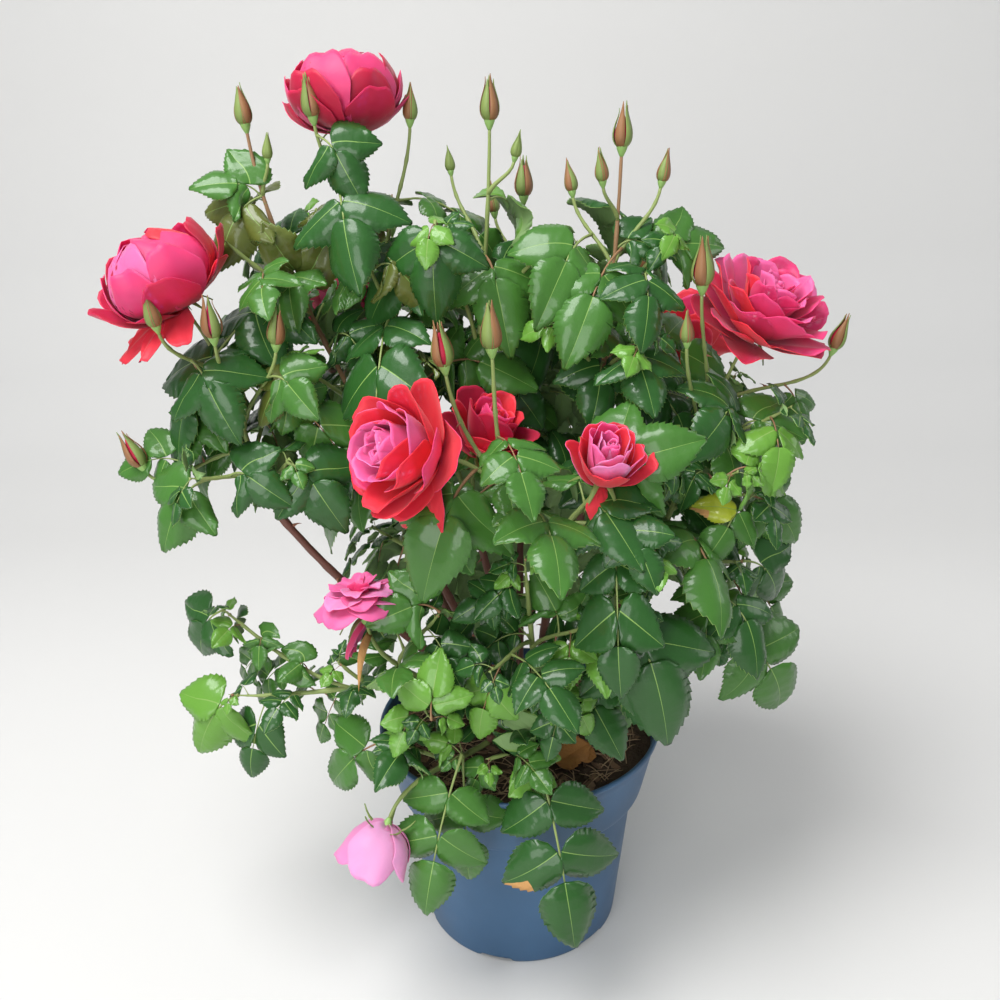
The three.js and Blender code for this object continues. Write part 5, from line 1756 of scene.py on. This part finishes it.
def leaf_tone(mass, leaf):
    """Which tint a leaf gets: by its age along the shoot, its mass and a seeded draw."""
    if leaf.get("tint"):
        return leaf["tint"]
    young = leaf["share"] > 0.72
    if mass["name"] in ("foliage_top_left", "foliage_top") and young and leaf["tone"] < 0.7:
        return "bronze"
    if young and leaf["tone"] > 0.55:
        return "fresh"
    if leaf["tone"] > 0.46:
        return "middle"
    return "dark"


def make_leaves(masses, settings):
    """Every leaflet as its own toothed, folded blade, joined into pieces for each tint."""
    tints = {name: [] for name in ("dark", "middle", "fresh", "bronze", "yellow")}
    for mass in masses:
        for leaf in mass["leaves"]:
            tone = leaf_tone(mass, leaf)
            random = seeded_random(leaf["seed"])
            for number, leaflet in enumerate(leaf["leaflets"]):
                withered = leaf.get("withered") == number
                tint = "middle" if tone == "yellow" and not withered else tone
                add_leaflet(with_room(tints[tint]), leaf, leaflet, leaflet_habit(random), withered)
    rib = soft_finish("midribs", settings.rib_colour[:3], 0.4)
    under = Finish("leaf_undersides", settings.underside_colour[:3], 0.6, 0.3)
    under.bump((under.grain(700, 3), 0.0003, 0.4))
    dry = dry_finish("withered_corners", settings.dry_colour[:3])
    for name, surfaces in tints.items():
        blade = leaf_finish(f"{name}_leaf_tops", getattr(settings, f"{name}_colour")[:3], 0.36)
        make_all(surfaces, f"leaves_{name}", [blade, rib, under.material, dry])
    make_dry_bract(masses, dry)


def make_dry_bract(masses, dry):
    """The dead bract that hangs under the faded bloom."""
    surface = Surface()
    part = masses[MASS_NODES.index("foliage_heart_left")]["shoots"][0]
    foot = part["curve"].point(0.92)
    hanging = Bezier(foot, foot + (-3, -14, -2), (-105, -106, 290), (-106, -112, 268))
    add_strip(surface, hanging, 5.2, np.array([0.2, -1, 0.3]), 0, 11)
    surface.make("dry_bract", [dry], MASS_NODES, "foliage")


def make_flowers(masses, settings):
    """Blooms and buds: petals in their own pieces, hips and sepals in another."""
    petals, greens = [], Surface()
    for mass in masses:
        for part in mass["shoots"]:
            seed = mass["seed"] * 211 + part["order"]
            if part.get("bloom"):
                add_bloom(with_room(petals), greens, part, seed)
            elif part.get("bud"):
                add_bud(with_room(petals), greens, part, seed)
    materials = [
        petal_finish(f"{name}_petals", getattr(settings, f"{name}_colour")[:3]) for name in PETAL_SLOTS
    ]
    make_all(petals, "bloom_petals", materials)
    materials = [
        soft_finish("hips", settings.hip_colour[:3], 0.4),
        soft_finish("sepals", settings.sepal_colour[:3], 0.5),
        soft_finish("flushed_sepals", settings.flushed_colour[:3], 0.5),
    ]
    greens.make("hips_and_sepals", materials, MASS_NODES, "foliage")


# The studio, in metres: the floor's outline from front to back, and the camera's directions
FLOOR_PROFILE = [(-1.6, 0), (0.8, 0), (1.05, 0.04), (1.24, 0.15), (1.36, 0.36), (1.4, 0.7), (1.4, 2.4)]
FLOOR_HALF_WIDTH = 2.6
CAMERA_PLACE = (-0.0068, -0.6805, 0.6199)
CAMERA_RIGHT = (0.999826, 0, -0.018630)
CAMERA_DOWN = (-0.017386, -0.359320, -0.933053)
CAMERA_FORWARD = (-0.006694, 0.933215, -0.359257)
SENSOR_WIDTH = 36
LENS = 36.108
AIR_COLOUR = (0.86, 0.92, 1, 1)


def make_floor(settings):
    """A plain pale floor that turns up into a backdrop."""
    vertices, faces = [], []
    for y, z in FLOOR_PROFILE:
        vertices += [(-FLOOR_HALF_WIDTH, y, z), (FLOOR_HALF_WIDTH, y, z)]
    for row in range(len(FLOOR_PROFILE) - 1):
        a = row * 2
        faces.append((a, a + 1, a + 3, a + 2))
    mesh = bpy.data.meshes.new("studio_floor")
    mesh.from_pydata(vertices, [], faces)
    for face in mesh.polygons:
        face.use_smooth = True
    floor = bpy.data.objects.new("studio_floor", mesh)
    bpy.context.scene.collection.objects.link(floor)
    paper = Finish("studio_paper", settings.floor_colour[:3], 0.8, 0.2)
    paper.bump((paper.grain(300, 3), 0.0003, 0.1))
    mesh.materials.append(paper.material)


def make_lights(settings):
    """Soft light from above, from the camera's side and from the right, and a little from all round."""
    lamps = [
        ("sky_light", (-0.6, -0.5, 1.9), (-0.02, 0.0, 0.35), 1.15, settings.sky_power),
        ("front_fill", (-0.6, -1.9, 0.8), (0.0, 0.0, 0.3), 1.4, settings.fill_power),
        ("side_fill", (1.8, 0.2, 1.1), (0.0, 0.0, 0.3), 1.0, settings.side_power),
    ]
    for name, place, target, size, power in lamps:
        data = bpy.data.lights.new(name, "AREA")
        data.shape = "DISK"
        data.size = size
        data.energy = power
        lamp = bpy.data.objects.new(name, data)
        lamp.location = place
        aim = Vector(target) - Vector(place)
        lamp.rotation_euler = aim.to_track_quat("-Z", "Y").to_euler()
        bpy.context.scene.collection.objects.link(lamp)
    world = bpy.data.worlds.new("studio_air")
    world.use_nodes = True
    world.node_tree.nodes["Background"].inputs["Color"].default_value = AIR_COLOUR
    world.node_tree.nodes["Background"].inputs["Strength"].default_value = settings.air_strength
    bpy.context.scene.world = world


def make_camera():
    """The camera, whose own axes are the picture's right, up and back."""
    data = bpy.data.cameras.new("camera")
    data.sensor_width = SENSOR_WIDTH
    data.lens = LENS
    camera = bpy.data.objects.new("camera", data)
    axes = Matrix((CAMERA_RIGHT, -Vector(CAMERA_DOWN), -Vector(CAMERA_FORWARD))).transposed()
    camera.matrix_world = Matrix.Translation(CAMERA_PLACE) @ axes.to_4x4()
    bpy.context.scene.collection.objects.link(camera)
    bpy.context.scene.camera = camera
    bpy.context.scene.view_settings.view_transform = "Standard"


# Settings, operators and the panel


def colour_setting(name, description, default):
    return bpy.props.FloatVectorProperty(
        name=name, description=description, subtype="COLOR", size=4, min=0, max=1, default=(*default, 1)
    )


class RosePotSettings(bpy.types.PropertyGroup):
    colour: colour_setting("Pot", "Colour of the moulded plastic", (0.042, 0.105, 0.2))


class RoseSoilSettings(bpy.types.PropertyGroup):
    colour: colour_setting("Mix", "Colour of the growing mix", (0.075, 0.05, 0.034))
    chip_colour: colour_setting("Chips", "Colour of the bark chips", (0.2, 0.125, 0.075))
    fibre_colour: colour_setting("Fibres", "Colour of the dry fibres", (0.42, 0.29, 0.18))
    fallen_colour: colour_setting("Fallen leaflets", "Colour of the dry leaflets", (0.42, 0.19, 0.06))
    chips: bpy.props.IntProperty(
        name="Chips", description="Number of bark chips", default=420, min=0, max=2000
    )
    fibres: bpy.props.IntProperty(
        name="Fibres", description="Number of loose fibres", default=420, min=0, max=2000
    )


class RoseWoodSettings(bpy.types.PropertyGroup):
    knob_colour: colour_setting("Knob", "Colour of the graft knob's cork", (0.12, 0.07, 0.04))
    cane_colour: colour_setting("Canes", "Colour of the old canes' bark", (0.15, 0.062, 0.045))
    stem_colour: colour_setting("Stems", "Colour of the green stems", (0.25, 0.32, 0.1))
    red_stem_colour: colour_setting("Red stems", "Colour of the red-brown stems", (0.3, 0.17, 0.085))
    prickle_colour: colour_setting("Prickles", "Colour of the prickles", (0.28, 0.12, 0.07))


class RoseLeafSettings(bpy.types.PropertyGroup):
    dark_colour: colour_setting("Dark", "Top of a full-grown leaf", (0.022, 0.09, 0.016))
    middle_colour: colour_setting("Middle", "Top of a leaf in better light", (0.052, 0.16, 0.024))
    yellow_colour: colour_setting("Yellow", "Top of a failing leaf", (0.36, 0.42, 0.03))
    dry_colour: colour_setting("Dry", "Withered parts of a leaf", (0.5, 0.27, 0.1))
    fresh_colour: colour_setting("Fresh", "Top of a young leaf", (0.12, 0.29, 0.036))
    bronze_colour: colour_setting("Bronze", "Top of a leaf that is still bronze", (0.1, 0.125, 0.022))
    rib_colour: colour_setting("Midrib", "Midrib of a leaflet", (0.2, 0.34, 0.08))
    underside_colour: colour_setting("Underside", "Underside of a leaflet", (0.2, 0.33, 0.12))


class RoseFlowerSettings(bpy.types.PropertyGroup):
    pale_colour: colour_setting("Pale", "Palest petals", (0.82, 0.3, 0.55))
    blush_colour: colour_setting("Blush", "Light pink petals", (0.8, 0.23, 0.47))
    pink_colour: colour_setting("Pink", "Pink petals", (0.8, 0.12, 0.31))
    rose_colour: colour_setting("Rose", "Deep rose petals", (0.74, 0.045, 0.16))
    scarlet_colour: colour_setting("Scarlet", "Scarlet petals", (0.8, 0.032, 0.05))
    crimson_colour: colour_setting("Crimson", "Crimson petals", (0.45, 0.012, 0.045))
    hip_colour: colour_setting("Hips", "Swellings under the blooms", (0.27, 0.46, 0.13))
    sepal_colour: colour_setting("Sepals", "Sepals round the buds", (0.19, 0.26, 0.07))
    flushed_colour: colour_setting("Flushed sepals", "Red side of a sepal", (0.27, 0.13, 0.055))


class RoseStageSettings(bpy.types.PropertyGroup):
    floor_colour: colour_setting("Floor", "Colour of the floor and backdrop", (0.72, 0.71, 0.69))
    sky_power: bpy.props.FloatProperty(
        name="Sky", description="Power of the large light above", default=38, min=0, unit="POWER"
    )
    fill_power: bpy.props.FloatProperty(
        name="Fill", description="Power of the light by the camera", default=22, min=0, unit="POWER"
    )
    side_power: bpy.props.FloatProperty(
        name="Side", description="Power of the light from the right", default=6, min=0, unit="POWER"
    )
    air_strength: bpy.props.FloatProperty(
        name="Air", description="Strength of the light from all round", default=0.3, min=0
    )


@functools.cache
def plant():
    """The plan, worked out once and shared by the operators."""
    return plan_plant()


class ROSE_OT_pot(bpy.types.Operator):
    """Make the round plastic pot"""

    bl_idname = "rose.pot"
    bl_label = "Make pot"

    def execute(self, context):
        make_pot(context.scene.rose_pot)
        return {"FINISHED"}


class ROSE_OT_compost(bpy.types.Operator):
    """Make the compost with its chips and fibres"""

    bl_idname = "rose.compost"
    bl_label = "Make compost"

    def execute(self, context):
        make_compost(context.scene.rose_soil)
        return {"FINISHED"}


class ROSE_OT_wood(bpy.types.Operator):
    """Make the graft knob, the canes and the shoots"""

    bl_idname = "rose.wood"
    bl_label = "Make wood"

    def execute(self, context):
        canes, masses = plant()
        settings = context.scene.rose_wood
        make_knob(settings)
        make_canes(canes, settings)
        make_shoots(masses, settings)
        make_stalks(masses, settings)
        return {"FINISHED"}


class ROSE_OT_leaves(bpy.types.Operator):
    """Make every leaf of the bush"""

    bl_idname = "rose.leaves"
    bl_label = "Make leaves"

    def execute(self, context):
        _, masses = plant()
        make_leaves(masses, context.scene.rose_leaf)
        return {"FINISHED"}


class ROSE_OT_flowers(bpy.types.Operator):
    """Make the blooms and buds"""

    bl_idname = "rose.flowers"
    bl_label = "Make flowers"

    def execute(self, context):
        _, masses = plant()
        make_flowers(masses, context.scene.rose_flower)
        return {"FINISHED"}


class ROSE_OT_stage(bpy.types.Operator):
    """Make the floor, the lights and the camera"""

    bl_idname = "rose.stage"
    bl_label = "Make stage"

    def execute(self, context):
        settings = context.scene.rose_stage
        make_floor(settings)
        make_lights(settings)
        make_camera()
        return {"FINISHED"}


OPERATORS = (ROSE_OT_stage, ROSE_OT_pot, ROSE_OT_compost, ROSE_OT_wood, ROSE_OT_leaves, ROSE_OT_flowers)
SETTINGS = {
    "rose_pot": RosePotSettings,
    "rose_soil": RoseSoilSettings,
    "rose_wood": RoseWoodSettings,
    "rose_leaf": RoseLeafSettings,
    "rose_flower": RoseFlowerSettings,
    "rose_stage": RoseStageSettings,
}


class ROSE_PT_panel(bpy.types.Panel):
    """Sizes and colours of the rose, with a button for each group of pieces"""

    bl_label = "Rose"
    bl_space_type = "VIEW_3D"
    bl_region_type = "UI"
    bl_category = "Rose"

    def draw(self, context):
        for operator in OPERATORS:
            self.layout.operator(operator.bl_idname)
        for name in SETTINGS:
            box = self.layout.box()
            settings = getattr(context.scene, name)
            for prop in settings.bl_rna.properties:
                if prop.identifier not in ("rna_type", "name"):
                    box.prop(settings, prop.identifier)


CLASSES = (*SETTINGS.values(), *OPERATORS, ROSE_PT_panel)


def register():
    for made in CLASSES:
        bpy.utils.register_class(made)
    for name, group in SETTINGS.items():
        setattr(bpy.types.Scene, name, bpy.props.PointerProperty(type=group))


def unregister():
    for name in SETTINGS:
        delattr(bpy.types.Scene, name)
    for made in reversed(CLASSES):
        bpy.utils.unregister_class(made)


def main():
    register()
    bpy.ops.rose.stage()
    bpy.ops.rose.pot()
    bpy.ops.rose.compost()
    bpy.ops.rose.wood()
    bpy.ops.rose.leaves()
    bpy.ops.rose.flowers()


if __name__ == "__main__":
    main()
